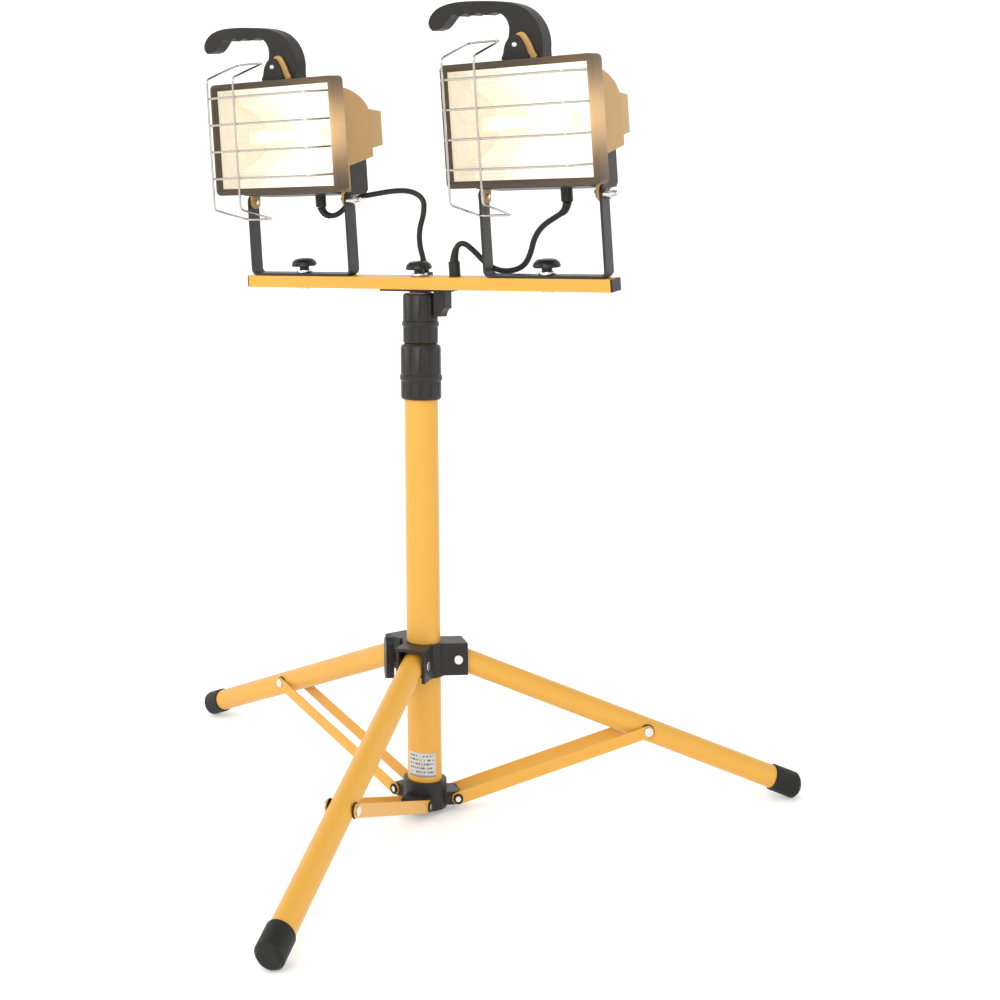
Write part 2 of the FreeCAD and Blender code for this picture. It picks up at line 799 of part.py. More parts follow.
# ------------------------------------------------------------- the crossbar
def head_bracket():
    """The casting on top of the mast: a saddle, its spigot, a stud and a lug."""
    plate = block(
        "saddle_plate",
        "saddle_length",
        "bar_depth",
        "saddle_thickness",
        (0, 0, -S.saddle_thickness - 0.2),
    )
    neck = rod(
        "saddle_neck",
        "inner_diameter / 2 - tube_wall - 1",
        "saddle_thickness + bar_rise",
        (0, 0, -2 * S.saddle_thickness - S.bar_rise + 0.5),
    )
    stud = rod(
        "saddle_stud",
        "stud_radius",
        "bar_height + knob_bore_depth",
        (0, 0, -1),
    )
    top = moved(fuse("saddle_top", plate, neck, stud), BAR_FRAME)
    spigot = rod(
        "saddle_spigot",
        "inner_diameter / 2 - tube_wall",
        "35",
        (0, 0, INNER_TOP - 36),
    )
    lug_x = S.upper_lock_diameter / 2 + S.lock_ring + 0.6
    lug = block("saddle_lug_block", "15", "15", "29", (lug_x + 7.5, 0, LOCKS_TOP - 26))
    notch = rod("saddle_lug_notch", "9", "30", (lug_x + 18, -15, LOCKS_TOP - 25), "y")
    side = cut("saddle_lug", lug, notch)
    node(fuse("head_bracket", top, spigot, side))


def crossbar():
    tube = block("bar_outside", "bar_length", "bar_depth", "bar_height", (0, 0, 0))
    hollow = block(
        "bar_inside",
        "bar_length + 2",
        "bar_depth - 2 * bar_wall",
        "bar_height - 2 * bar_wall",
        (0, 0, S.bar_wall),
    )
    holes = [
        rod(f"bar_hole_{i}", "stud_radius + shaft_gap", "bar_height + 10", (x, 0, -5))
        for i, x in enumerate((head_x("left"), 0, head_x("right")))
    ]
    node(cut("crossbar", tube, hollow, *holes), BAR_FRAME)
    caps = []
    for side, sign in SIDES.items():
        flange = block(
            f"cap_{side}_flange",
            "bar_cap",
            "bar_depth",
            "bar_height",
            (sign * (S.bar_length + S.bar_cap) / 2, 0, 0),
        )
        plug = block(
            f"cap_{side}_plug",
            "bar_cap_plug",
            "bar_depth - 2 * bar_wall",
            "bar_height - 2 * bar_wall",
            (sign * (S.bar_length - S.bar_cap_plug) / 2, 0, S.bar_wall),
        )
        caps.append(fuse(f"cap_{side}", flange, plug))
    node(group("crossbar_end_caps", *caps), BAR_FRAME)
    bolts = []
    for side in SIDES:
        x = head_x(side)
        head = rod(f"bolt_{side}_head", "stud_radius + 4", "2.4", (x, 0, -2.4))
        shank = rod(
            f"bolt_{side}_shank",
            "stud_radius",
            "bar_height + yoke_strap + knob_bore_depth - 1",
            (x, 0, 0),
        )
        bolts.append(fuse(f"bolt_{side}", head, shank))
    node(group("yoke_bolts", *bolts), BAR_FRAME)
    right = rod(
        "socket_right", "socket_radius", "socket_height", (45, 3, S.bar_height)
    )
    left = block(
        "socket_left",
        "12",
        "socket_depth",
        "16",
        (-4, (S.bar_depth + S.socket_depth) / 2, 0),
    )
    node(group("lead_sockets", left, right), BAR_FRAME)


def round_knob(label, x, z):
    """A dished knob with cuts around its edge, open below for the bolt."""
    rim = "knob_diameter / 2"
    body = turned(
        label + "_blank",
        [
            ("stud_radius + shaft_gap", "0"),
            ("7.5", "0"),
            ("5.8", "3"),
            ("5.8", "knob_height - 8"),
            (rim + " - 1", "knob_height - 9"),
            (rim, "knob_height - 7.5"),
            (rim + " - 1.5", "knob_height - 3.5"),
            (rim + " - 5", "knob_height - 0.6"),
            (rim + " - 8", "knob_height"),
            ("0", "knob_height - 1.5"),
            ("0", "knob_bore_depth"),
            ("stud_radius + shaft_gap", "knob_bore_depth"),
        ],
    )
    cuts = []
    for i in range(6):
        turn = math.pi * (i + 0.5) / 3
        reach = S.knob_diameter / 2 + S.knob_scallop * 0.5
        at = (reach * math.cos(turn), reach * math.sin(turn), S.knob_height - 12)
        cuts.append(rod(f"{label}_cut_{i}", "knob_scallop", "14", at))
    place = BAR_FRAME * Placement(Vector(x, 0, z), UPRIGHT)
    node(cut(label, body, *cuts), place)


def knobs():
    round_knob("centre_knob", 0, S.bar_height + S.face_gap)
    on_yoke = S.bar_height + S.yoke_strap + S.face_gap
    for side in SIDES:
        round_knob(f"yoke_knob_{side}", head_x(side), on_yoke)


def yokes():
    """A strap bent to a U that holds the lamp between its arms."""
    for side in SIDES:
        low = S.bar_height - S.pivot_rise
        outer = block(
            f"yoke_{side}_outer",
            "yoke_inside + 2 * yoke_strap",
            "yoke_depth",
            "pivot_rise - bar_height",
            (0, 0, low),
        )
        bent = rounded(
            f"yoke_{side}_bent",
            outer,
            S.yoke_bend,
            lambda e: runs_along(e, "y") and e.CenterOfMass.z < low + 1,
        )
        ends = rod(
            f"yoke_{side}_ends",
            "yoke_depth / 2",
            "yoke_inside + 2 * yoke_strap",
            (-S.yoke_inside / 2 - S.yoke_strap, 0, 0),
            "x",
        )
        inner = block(
            f"yoke_{side}_inner",
            "yoke_inside",
            "yoke_depth + 2",
            "pivot_rise - bar_height + yoke_depth",
            (0, 0, low + S.yoke_strap),
        )
        inside = rounded(
            f"yoke_{side}_inside",
            inner,
            S.yoke_bend - S.yoke_strap,
            lambda e: runs_along(e, "y") and e.CenterOfMass.z < low + S.yoke_strap + 1,
        )
        bolt_hole = rod(
            f"yoke_{side}_bolt_hole",
            "stud_radius + shaft_gap",
            "yoke_strap + 2",
            (0, 0, low - 1),
        )
        tilt_hole = rod(
            f"yoke_{side}_tilt_hole",
            "tilt_bolt_radius + shaft_gap",
            "yoke_inside + 4 * yoke_strap",
            (-S.yoke_inside / 2 - 2 * S.yoke_strap, 0, 0),
            "x",
        )
        solid = fuse(f"yoke_{side}_solid", bent, ends)
        node(cut(f"yoke_{side}", solid, inside, bolt_hole, tilt_hole), lamp_frame(side))


# ---------------------------------------------------------------- the lamps
def shell_outline(inset):
    """The housing seen from the side: a quarter ellipse, a back, a slope."""
    top = BEZEL_TOP - S.shell_top_drop - inset
    middle = S.bezel_rise + 0.6 * S.bezel_height
    bottom = S.bezel_rise + 0.18 * S.bezel_height + inset
    back = BEZEL_BACK + S.shell_depth - inset
    start = BEZEL_BACK - 5 if inset else BEZEL_BACK
    low_back = S.bezel_rise + 0.27 * S.bezel_height + inset
    points = [(start, top)]
    for i in range(13):
        turn = math.pi / 2 * i / 12
        y = BEZEL_BACK + (back - BEZEL_BACK) * math.sin(turn)
        points.append((y, middle + (top - middle) * math.cos(turn)))
    points += [(back, low_back), (BEZEL_BACK, bottom), (start, bottom)]
    return points if inset else points[1:-1]


def box_outline(inset):
    """The terminal box under the housing's slope."""
    top = S.bezel_rise + 0.18 * S.bezel_height - inset
    top_back = S.bezel_rise + 0.27 * S.bezel_height - inset
    back = BEZEL_BACK + S.shell_depth - 2 - inset
    low = S.bezel_rise - S.terminal_drop + inset
    front = BEZEL_BACK + inset
    return [
        (front, low + S.terminal_drop - 2),
        (back - 25, low),
        (back - 5, low),
        (back, low + 5),
        (back, top_back - 0.4),
        (front, top),
    ]


def rear_box(inset):
    middle = S.bezel_rise + 0.52 * S.bezel_height
    tall = S.rear_box_height / 2 - inset
    start = BEZEL_BACK + S.shell_depth
    end = start + S.rear_box_depth - inset
    wide = S.rear_box_width / 2 - inset
    return loft(
        [
            (start - 6, wide + 1, middle - tall - 1, middle + tall + 1),
            (end, wide - 4, middle - tall + 3, middle + tall - 3),
        ]
    )


def housing_shape():
    """The yellow die-cast housing: shell, wiring cover, ears and handle pad."""
    half = S.shell_width / 2
    solid = prism(shell_outline(0), half)
    solid = solid.fuse(rear_box(0))
    ear = S.yoke_inside / 2 - S.face_gap - S.ear_thickness
    wall = S.bezel_rise + 0.27 * S.bezel_height - 2
    for sign in SIDES.values():
        at = ear if sign > 0 else -ear - S.ear_thickness
        disc = Part.makeCylinder(
            S.ear_radius, S.ear_thickness, Vector(at, 0, 0), Vector(1, 0, 0)
        )
        web = Part.makeBox(
            S.ear_thickness, 2 * S.ear_radius, wall, Vector(at, -S.ear_radius, 0)
        )
        solid = solid.fuse(disc.fuse(web))
    pad_top = BEZEL_TOP - S.shell_top_drop + 2
    pad = Part.makeBox(44, S.handle_thickness - 2, 14, Vector(-20, BEZEL_BACK, pad_top - 14))
    solid = solid.fuse(pad)
    hollow = prism(shell_outline(S.shell_wall), half - S.shell_wall)
    hollow = hollow.fuse(rear_box(S.shell_wall))
    solid = solid.cut(hollow)
    for sign in SIDES.values():
        at = ear - 1 if sign > 0 else -ear - S.ear_thickness - 1
        hole = Part.makeCylinder(
            S.tilt_bolt_radius, S.ear_thickness + 2, Vector(at, 0, 0), Vector(1, 0, 0)
        )
        solid = solid.cut(hole)
    return solid.removeSplitter()


def reflector_shape():
    """A pan of thin sheet with sloping walls, open to the glass."""
    front = FRONT_Y + S.bezel_lip + S.glass_thickness + 0.2
    neck = BEZEL_BACK - 1
    back = BEZEL_BACK + S.shell_depth - 22
    low, high = S.bezel_rise + 3, BEZEL_TOP - 3
    wide = S.bezel_width / 2 - S.bezel_wall - 3.5
    waist = S.shell_width / 2 - S.shell_wall - 1
    t = S.reflector_sheet

    def pan(inset, start, end):
        return loft(
            [
                (start, wide - inset, low + inset, high - inset),
                (neck, waist - inset, low + 25 + inset, high - 22 - inset),
                (end, waist - 11 - inset, low + 42 + inset, high - 46 - inset),
            ]
        )

    return pan(0, front, back).cut(pan(t, front, back - t))


def terminal_shape():
    """The black terminal box with the cord gland under it."""
    half = S.terminal_width / 2
    box = prism(box_outline(0), half)
    top = S.bezel_rise + 4
    gland = Part.makeCylinder(
        S.gland_radius, S.gland_drop + 4, Vector(25, 8, top - S.gland_drop - 4)
    )
    collar_ring = Part.makeCylinder(
        S.gland_radius + 2, 4, Vector(25, 8, S.bezel_rise - 4)
    )
    box = box.fuse(gland).fuse(collar_ring)
    return box.cut(prism(box_outline(2), half - 2)).removeSplitter()


def guard_shape():
    """Chrome wire: four bars that return to the bezel, and one long hoop."""
    r = S.guard_wire
    front = FRONT_Y - S.guard_reach

    def bend(run, turn):
        return S.guard_bend

    solid = None
    for i in range(4):
        z = S.bezel_rise + S.guard_first + i * S.guard_pitch
        points = [
            (-84, FRONT_Y - r / 2, z),
            (-71, front, z),
            (71, front, z),
            (84, FRONT_Y - r / 2, z),
        ]
        bar = tube_along(bent_path(points, bend), r)
        solid = bar if solid is None else solid.fuse(bar)
    out = front - 1.6 * r
    back = front + 62
    high, low = BEZEL_TOP + 6, S.bezel_rise - 15
    hoop = [
        (-29, out, high),
        (-29, back, high + 17),
        (-68, back, high + 17),
        (-68, out, high),
        (-68, out, low),
        (-68, back, low - 17),
        (-29, back, low - 17),
        (-29, out, low),
    ]
    path = bent_path(hoop, bend, closed=True)
    return solid.fuse(tube_along(path, r))


def handle_shape():
    """A hooked carrying handle with finger rests, open at the left."""
    half = S.handle_thickness / 2
    middle = BEZEL_BACK + half
    base = BEZEL_TOP - S.shell_top_drop + 2
    outer = [
        (24, 158),
        (22, 180),
        (15, 193),
        (6, 202),
        (-8, 209),
        (-36, 214.5),
        (-67, 217),
        (-93, 215),
        (-107, 208),
        (-113, 197),
        (-108, 188),
    ]
    inner = [
        (-101, 189),
        (-91, 196),
        (-80, 203.5),
        (-73, 201),
        (-66, 203.5),
        (-58, 200.5),
        (-50, 202.5),
        (-42, 199.5),
        (-33, 201),
        (-20, 197),
        (-14, 184),
        (-17, 168),
        (-20, 158),
    ]

    def line(points):
        curve = Part.BSplineCurve()
        curve.interpolate([Vector(x, middle - half, z) for x, z in points])
        return curve.toShape()

    def straight(a, b):
        return Part.LineSegment(
            Vector(a[0], middle - half, a[1]), Vector(b[0], middle - half, b[1])
        ).toShape()

    edges = [
        line(outer),
        straight(outer[-1], inner[0]),
        line(inner),
        straight(inner[-1], (-20, base)),
        straight((-20, base), (24, base)),
        straight((24, base), outer[0]),
    ]
    face = Part.Face(Part.Wire(edges))
    return face.extrude(Vector(0, S.handle_thickness, 0))


def bezel(side, place):
    front = FRONT_Y + S.bezel_depth / 2
    blank = block(
        f"bezel_{side}_blank",
        "bezel_width",
        "bezel_depth",
        "bezel_height",
        (0, front, S.bezel_rise),
    )
    corners = rounded(
        f"bezel_{side}_corners", blank, S.bezel_corner, lambda e: runs_along(e, "y")
    )
    opening = block(
        f"bezel_{side}_opening",
        "bezel_width - 2 * bezel_rim",
        "bezel_depth + 2",
        "bezel_height - 2 * bezel_rim",
        (0, front, S.bezel_rise + S.bezel_rim),
    )
    cavity = block(
        f"bezel_{side}_cavity",
        "bezel_width - 2 * bezel_wall",
        "bezel_depth",
        "bezel_height - 2 * bezel_wall",
        (0, front + S.bezel_lip, S.bezel_rise + S.bezel_wall),
    )
    node(cut(f"bezel_{side}", corners, opening, cavity), place)
    pane = block(
        f"glass_{side}_pane",
        "bezel_width - 2 * bezel_wall - 1",
        "glass_thickness",
        "bezel_height - 2 * bezel_wall - 1",
        (
            0,
            FRONT_Y + S.bezel_lip + S.glass_thickness / 2,
            S.bezel_rise + S.bezel_wall + 0.5,
        ),
    )
    node(wrapped(f"glass_{side}", pane), place)


def halogen(side, place):
    """The linear halogen tube between its two ceramic holders."""
    height = S.bezel_rise + S.bezel_height / 2
    depth = BEZEL_BACK + 18
    tube = rod(
        f"tube_{side}",
        "lamp_radius",
        "lamp_length",
        (-S.lamp_length / 2, depth, height),
        "x",
    )
    node(wrapped(f"halogen_tube_{side}", tube), place)
    back = BEZEL_BACK + S.shell_depth - 22 - S.reflector_sheet
    holders = []
    for end, sign in SIDES.items():
        holders.append(
            block(
                f"holder_{side}_{end}",
                "holder_length",
                f"{back - depth + 8}",
                "holder_height",
                (
                    sign * (S.lamp_length + S.holder_length) / 2,
                    (back + depth - 8) / 2,
                    height - S.holder_height / 2,
                ),
            )
        )
    node(group(f"lamp_holders_{side}", *holders), place)


def tilt_hardware(side, place):
    """A bolt through each ear and arm, and the wing nut on the right arm."""
    inner = S.yoke_inside / 2 - S.face_gap - S.ear_thickness
    arm = S.yoke_inside / 2 + S.yoke_strap
    right = rod(
        f"tilt_{side}_right_shank",
        "tilt_bolt_radius",
        f"{arm + 14 - inner + 2}",
        (inner - 2, 0, 0),
        "x",
    )
    right_head = rod(f"tilt_{side}_right_head", "tilt_bolt_radius + 2", "2", (inner - 4, 0, 0), "x")
    left = rod(
        f"tilt_{side}_left_shank",
        "tilt_bolt_radius",
        f"{arm + 3 - inner + 2}",
        (-arm - 3, 0, 0),
        "x",
    )
    left_head = rod(f"tilt_{side}_left_head", "tilt_bolt_radius + 2.6", "3", (-arm - 3.3, 0, 0), "x")
    bolts = [
        fuse(f"tilt_{side}_right", right, right_head),
        fuse(f"tilt_{side}_left", left, left_head),
    ]
    node(group(f"tilt_bolts_{side}", *bolts), place)
    start = arm + S.face_gap
    boss = rod(f"wing_{side}_boss", "tilt_bolt_radius + 3", "7", (start, 0, 0), "x")
    wings = [
        block(
            f"wing_{side}_{i}",
            "9",
            "11",
            "3",
            (start + 7.5, sign * 9.5, -1.5),
        )
        for i, sign in enumerate((-1, 1))
    ]
    bore = rod(
        f"wing_{side}_bore", "tilt_bolt_radius + shaft_gap", "20", (start - 1, 0, 0), "x"
    )
    node(cut(f"wing_nut_{side}", fuse(f"wing_{side}_solid", boss, *wings), bore), place)


def lamps():
    housing = housing_shape()
    reflector = reflector_shape()
    terminal = terminal_shape()
    guard = guard_shape()
    handle = handle_shape()
    for side in SIDES:
        place = lamp_frame(side)
        bezel(side, place)
        node(made(f"lamp_housing_{side}", housing, place))
        node(made(f"reflector_{side}", reflector, place))
        node(made(f"terminal_box_{side}", terminal, place))
        node(made(f"wire_guard_{side}", guard, place))
        node(made(f"carry_handle_{side}", handle, place))
        halogen(side, place)
        tilt_hardware(side, place)


# ------------------------------------------------------------ the lamp leads
# Each lead is two lengths that meet beside the yoke's arm, so the first can
# follow the lamp's tilt and the second the yoke's turn.  The points are in the
# crossbar's own frame.
LEADS = {
    "lamp_lead_left": [
        (-136, 8, 96),
        (-134.5, 9.5, 87.5),
        (-125, 14, 83.5),
        (-114, 17.5, 88),
        (-101, 18.1, 101),
        (-95, 18.29, 103.06),
    ],
    "bar_lead_left": [
        (-94.7, 18.3, 103.17),
        (-85, 18.6, 106.5),
        (-62, 19, 109.5),
        (-37, 19, 112.5),
        (-14, 18.6, 111.5),
        (2, 18, 102),
        (1, 17.6, 85),
        (-6.5, 17.6, 67),
        (-8.5, 18.9, 48),
        (-5, 20.3, 31),
        (-4, 20.3, 16),
    ],
    "lamp_lead_right": [
        (186, 8, 96),
        (184, 9.5, 87),
        (172, 14, 80.5),
        (150, 19, 69.5),
        (144.6, 18.76, 62.9),
    ],
    "bar_lead_right": [
        (144.4, 18.74, 62.6),
        (139, 18.5, 56),
        (134, 17.8, 39),
        (126, 17.4, 25),
        (110, 17, 18.5),
        (91, 16.8, 19.5),
        (77, 15, 29),
        (66, 10.5, 43.5),
        (56, 5.5, 53),
        (47, 3.2, 46),
        (45, 3, 31),
    ],
}


def cord_bend(run, turn):
    """The radius that lets an arc take 0.45 of the shorter of its two runs."""
    radius = 0.45 * run / math.tan(turn / 2)
    print("  lead arc radius %.1f for a turn of %.0f degrees" % (radius, math.degrees(turn)))
    return radius


def leads():
    for label, points in LEADS.items():
        path = bent_path(points, cord_bend)
        print(label, "length %.1f" % path.Length)
        node(made(label, tube_along(path, S.lead_radius), BAR_FRAME))


# ------------------------------------------------------------------- export
mast_tubes()
foot_hub()
mast_label()
twist_locks()
collar()
leg_pins()
legs()
braces()
head_bracket()
crossbar()
knobs()
yokes()
lamps()
leads()
doc.recompute()

for thing in doc.Objects:
    if "Invalid" in thing.State or "Error" in thing.State:
        raise ValueError(f"{thing.Name} failed: {thing.State}")
for piece in nodes:
    if piece.Shape.isNull() or not piece.Shape.isValid():
        raise ValueError(f"{piece.Label} has no valid shape")
    if not piece.Shape.Solids:
        raise ValueError(f"{piece.Label} has no solid")
os.makedirs("parts", exist_ok=True)
for piece in nodes:
    piece.Shape.exportStep(os.path.join("parts", piece.Label + ".step"))
print(len(nodes), "nodes")
print("pivot %.3f joint %.3f %.3f brace %.3f hub %.3f" % (
    PIVOT_HEIGHT, JOINT_X, JOINT_Z, math.degrees(BRACE_SLOPE), HUB_PIVOT_X))
print("bar %.3f locks %.3f %.3f" % (BAR_Z, LOWER_LOCK_Z, UPPER_LOCK_Z))
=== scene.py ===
import json
import math

import bmesh
import bpy
import numpy as np
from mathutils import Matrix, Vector


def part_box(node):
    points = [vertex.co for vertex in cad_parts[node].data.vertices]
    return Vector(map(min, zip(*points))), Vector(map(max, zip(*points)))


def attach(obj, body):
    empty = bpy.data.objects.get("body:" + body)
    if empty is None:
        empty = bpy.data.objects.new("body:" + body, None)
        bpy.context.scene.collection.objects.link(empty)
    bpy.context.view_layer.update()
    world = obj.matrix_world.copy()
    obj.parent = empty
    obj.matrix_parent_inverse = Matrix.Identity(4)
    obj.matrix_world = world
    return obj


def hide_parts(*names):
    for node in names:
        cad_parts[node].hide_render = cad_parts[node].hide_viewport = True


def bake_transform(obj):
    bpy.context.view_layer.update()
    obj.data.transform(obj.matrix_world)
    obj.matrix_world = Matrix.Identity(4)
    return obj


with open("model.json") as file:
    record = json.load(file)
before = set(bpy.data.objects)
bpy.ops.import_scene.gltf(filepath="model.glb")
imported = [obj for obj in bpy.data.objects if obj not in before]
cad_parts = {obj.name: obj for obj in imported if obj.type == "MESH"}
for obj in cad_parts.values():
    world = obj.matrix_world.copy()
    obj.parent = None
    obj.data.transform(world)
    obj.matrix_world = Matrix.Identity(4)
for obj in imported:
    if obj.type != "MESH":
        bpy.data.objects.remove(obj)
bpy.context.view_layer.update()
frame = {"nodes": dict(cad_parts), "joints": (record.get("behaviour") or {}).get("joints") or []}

# ------------------------------------------------------------------- camera
# A standing camera to the right of the lamps, a little above the mast's middle
# and turned slightly up, so the lamps are seen from below their centres.
camera_data = bpy.data.cameras.new("camera")
camera_data.lens = 54.1
camera_data.sensor_width = 36.0
camera_data.shift_x = 0.26
camera_data.shift_y = -0.37
camera_data.clip_end = 60.0
camera = bpy.data.objects.new("camera", camera_data)
camera.location = (0.8947, -1.5086, 0.6200)
camera.rotation_euler = (math.pi / 2 + 0.082, 0.0, 0.654)
bpy.context.scene.collection.objects.link(camera)
bpy.context.scene.camera = camera


# -------------------------------------------------------------- lamp leads
# Black rubber flex, 6.5 mm thick.  Each lead leaves the gland under its lamp,
# passes behind the yoke's arm and goes into the crossbar.  It is stiff enough
# to stand in the arch that it was bent to.
LEAD_DIAMETER = 0.0065
joint_of = {joint["name"]: joint for joint in frame["joints"]}
bar_origin = np.array(joint_of["crossbar_swivel"]["pos_m"])
bar_up = np.array(joint_of["crossbar_swivel"]["axis"])
bar_right = np.array([1.0, 0.0, 0.0])
bar_back = np.cross(bar_up, bar_right)


def on_bar(points):
    """Points measured from the crossbar's underside, in its leaned axes: the
    origin plus x times right, y times back and z times up."""
    points = np.asarray(points, float)
    axes = np.stack([bar_right, bar_back, bar_up])
    return bar_origin + points @ axes


def on_lamp(side, points):
    """Points measured from a lamp's tilt axis, midway between the arms."""
    points = np.asarray(points, float)
    axes = np.stack([bar_right, bar_back, bar_up])
    return np.array(joint_of[f"lamp_{side}_tilt"]["pos_m"]) + points @ axes


def grid_faces(rows, columns, close_rows=False, close_columns=False):
    """Quads between neighbouring points of a rows by columns grid, wrapping
    round where it is closed."""
    r = np.arange(rows if close_rows else rows - 1)
    c = np.arange(columns if close_columns else columns - 1)
    r, c = (a.ravel() for a in np.meshgrid(r, c, indexing="ij"))
    r2, c2 = (r + 1) % rows, (c + 1) % columns
    return np.stack(
        [r * columns + c, r * columns + c2, r2 * columns + c2, r2 * columns + c], 1
    )


def new_piece(name, points, faces, material, body, uv=None, smooth=40):
    """A mesh object from arrays, shaded smooth up to an angle, riding a body."""
    mesh = bpy.data.meshes.new(name)
    points = np.asarray(points, float).reshape(-1, 3)
    mesh.from_pydata(points.tolist(), [], [list(map(int, face)) for face in faces])
    if uv is not None:
        layer = mesh.uv_layers.new(name="surface")
        corners = np.empty(len(mesh.loops), np.int32)
        mesh.loops.foreach_get("vertex_index", corners)
        layer.data.foreach_set("uv", np.asarray(uv, np.float32)[corners].ravel())
    mesh.validate()
    mesh.shade_smooth()
    mesh.set_sharp_from_angle(angle=math.radians(smooth))
    piece = bpy.data.objects.new(name, mesh)
    bpy.context.scene.collection.objects.link(piece)
    mesh.materials.append(material)
    if body:
        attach(piece, body)
    return piece


def turned_outward(piece):
    """Makes every face of a closed surface look outwards."""
    work = bmesh.new()
    work.from_mesh(piece.data)
    bmesh.ops.recalc_face_normals(work, faces=work.faces)
    work.to_mesh(piece.data)
    work.free()
    return piece


def node_tree(name):
    """An empty material's nodes, with one shader and the output joined."""
    material = bpy.data.materials.new(name)
    material.use_nodes = True
    tree = material.node_tree
    return material, tree, tree.nodes["Principled BSDF"]


def effect(name, inputs, outputs):
    """A shader node group with named inputs and outputs, built once."""
    group = bpy.data.node_groups.new(name, "ShaderNodeTree")
    for label, kind, value in inputs:
        socket = group.interface.new_socket(label, in_out="INPUT", socket_type=kind)
        if value is not None:
            socket.default_value = value
    for label, kind in outputs:
        group.interface.new_socket(label, in_out="OUTPUT", socket_type=kind)
    start = group.nodes.new("NodeGroupInput")
    end = group.nodes.new("NodeGroupOutput")
    return group, start, end


def add(tree, kind, links=None, **values):
    """A node with its plain values set and its inputs linked."""
    made = tree.nodes.new(kind)
    for key, value in values.items():
        setattr(made, key, value)
    for key, value in (links or {}).items():
        if isinstance(value, bpy.types.NodeSocket):
            tree.links.new(value, made.inputs[key])
        else:
            made.inputs[key].default_value = value
    return made


def mixed(tree, factor, first, second):
    """One colour turning into another as the factor goes from 0 to 1."""
    made = tree.nodes.new("ShaderNodeMix")
    made.data_type = "RGBA"
    for socket, value in ((made.inputs[0], factor), (made.inputs[6], first), (made.inputs[7], second)):
        if isinstance(value, bpy.types.NodeSocket):
            tree.links.new(value, socket)
        else:
            socket.default_value = value
    return made.outputs[2]


def grain_effect():
    """Fine moulded grain: cells of noise as a height, with a slow change of
    shade over the part, and a mask of dust that has settled unevenly."""
    group, start, end = effect(
        "moulded_grain",
        [("Cells per metre", "NodeSocketFloat", 1500.0), ("Patches", "NodeSocketFloat", 18.0)],
        [("Height", "NodeSocketFloat"), ("Shade", "NodeSocketFloat"), ("Dust", "NodeSocketFloat")],
    )
    place = add(group, "ShaderNodeTexCoord").outputs["Object"]
    cells = add(
        group,
        "ShaderNodeTexNoise",
        {"Vector": place, "Scale": start.outputs[0], "Detail": 2.0, "Roughness": 0.6},
    )
    patches = add(
        group,
        "ShaderNodeTexNoise",
        {"Vector": place, "Scale": start.outputs[1], "Detail": 4.0, "Roughness": 0.55},
    )
    dust = add(
        group,
        "ShaderNodeMapRange",
        {"Value": patches.outputs["Fac"], "From Min": 0.52, "From Max": 0.78},
    )
    group.links.new(cells.outputs["Fac"], end.inputs["Height"])
    group.links.new(patches.outputs["Fac"], end.inputs["Shade"])
    group.links.new(dust.outputs["Result"], end.inputs["Dust"])
    return group


moulded_grain = grain_effect()


def moulded(name, dark, light, rough, cells, bump, specular=0.3):
    """A moulded or coated black: two near shades, grain and uneven gloss."""
    material, tree, shader = node_tree(name)
    grain = add(tree, "ShaderNodeGroup", node_tree=moulded_grain)
    grain.inputs["Cells per metre"].default_value = cells
    shade = mixed(tree, grain.outputs["Shade"], (*dark, 1), (*light, 1))
    tree.links.new(shade, shader.inputs["Base Color"])
    gloss = add(
        tree,
        "ShaderNodeMapRange",
        {"Value": grain.outputs["Dust"], "To Min": rough, "To Max": rough + 0.12},
    )
    tree.links.new(gloss.outputs["Result"], shader.inputs["Roughness"])
    relief = add(
        tree,
        "ShaderNodeBump",
        {"Height": grain.outputs["Height"], "Strength": bump, "Distance": 0.0002},
    )
    tree.links.new(relief.outputs["Normal"], shader.inputs["Normal"])
    shader.inputs["Specular IOR Level"].default_value = specular
    return material


flex_rubber = moulded("flex_rubber", (0.012, 0.011, 0.010), (0.026, 0.024, 0.022), 0.42, 2600, 0.25)


def spline_line(name, points):
    """The smooth line of an order 3 spline whose control points are given."""
    curve = bpy.data.curves.new(name, "CURVE")
    curve.dimensions = "3D"
    curve.resolution_u = 16
    spline = curve.splines.new("NURBS")
    spline.points.add(len(points) - 1)
    spline.points.foreach_set(
        "co", np.column_stack([points, np.ones(len(points))]).ravel()
    )
    spline.order_u = 3
    spline.use_endpoint_u = True
    holder = bpy.data.objects.new(name, curve)
    bpy.context.scene.collection.objects.link(holder)
    bpy.context.view_layer.update()
    mesh = bpy.data.meshes.new_from_object(holder)
    line = np.empty(len(mesh.vertices) * 3)
    mesh.vertices.foreach_get("co", line)
    line = line.reshape(-1, 3)
    bpy.data.objects.remove(holder)
    bpy.data.curves.remove(curve)
    bpy.data.meshes.remove(mesh)
    return line


def tube_grid(line, radius, sides, reference):
    """Rings round a line: centre plus radius times (cos a times n plus sin a
    times b), with n square to the line and to the reference direction."""
    line = np.asarray(line, float)
    along = np.gradient(line, axis=0)
    along /= np.linalg.norm(along, axis=1)[:, None]
    n = np.cross(np.asarray(reference, float), along)
    n /= np.linalg.norm(n, axis=1)[:, None]
    b = np.cross(along, n)
    turn = np.arange(sides) * 2 * np.pi / sides
    radius = np.broadcast_to(radius, len(line))
    ring = np.cos(turn)[None, :, None] * n[:, None] + np.sin(turn)[None, :, None] * b[:, None]
    return line[:, None] + radius[:, None, None] * ring


def tube_piece(name, line, radius, material, body, sides=20, reference=(0, 1, 0)):
    """A tube with flat closed ends along a line."""
    grid = tube_grid(line, radius, sides, reference)
    rows = len(grid)
    faces = [list(face) for face in grid_faces(rows, sides, close_columns=True)]
    faces.append(list(range(sides))[::-1])
    faces.append([(rows - 1) * sides + i for i in range(sides)])
    return turned_outward(new_piece(name, grid, faces, material, body))


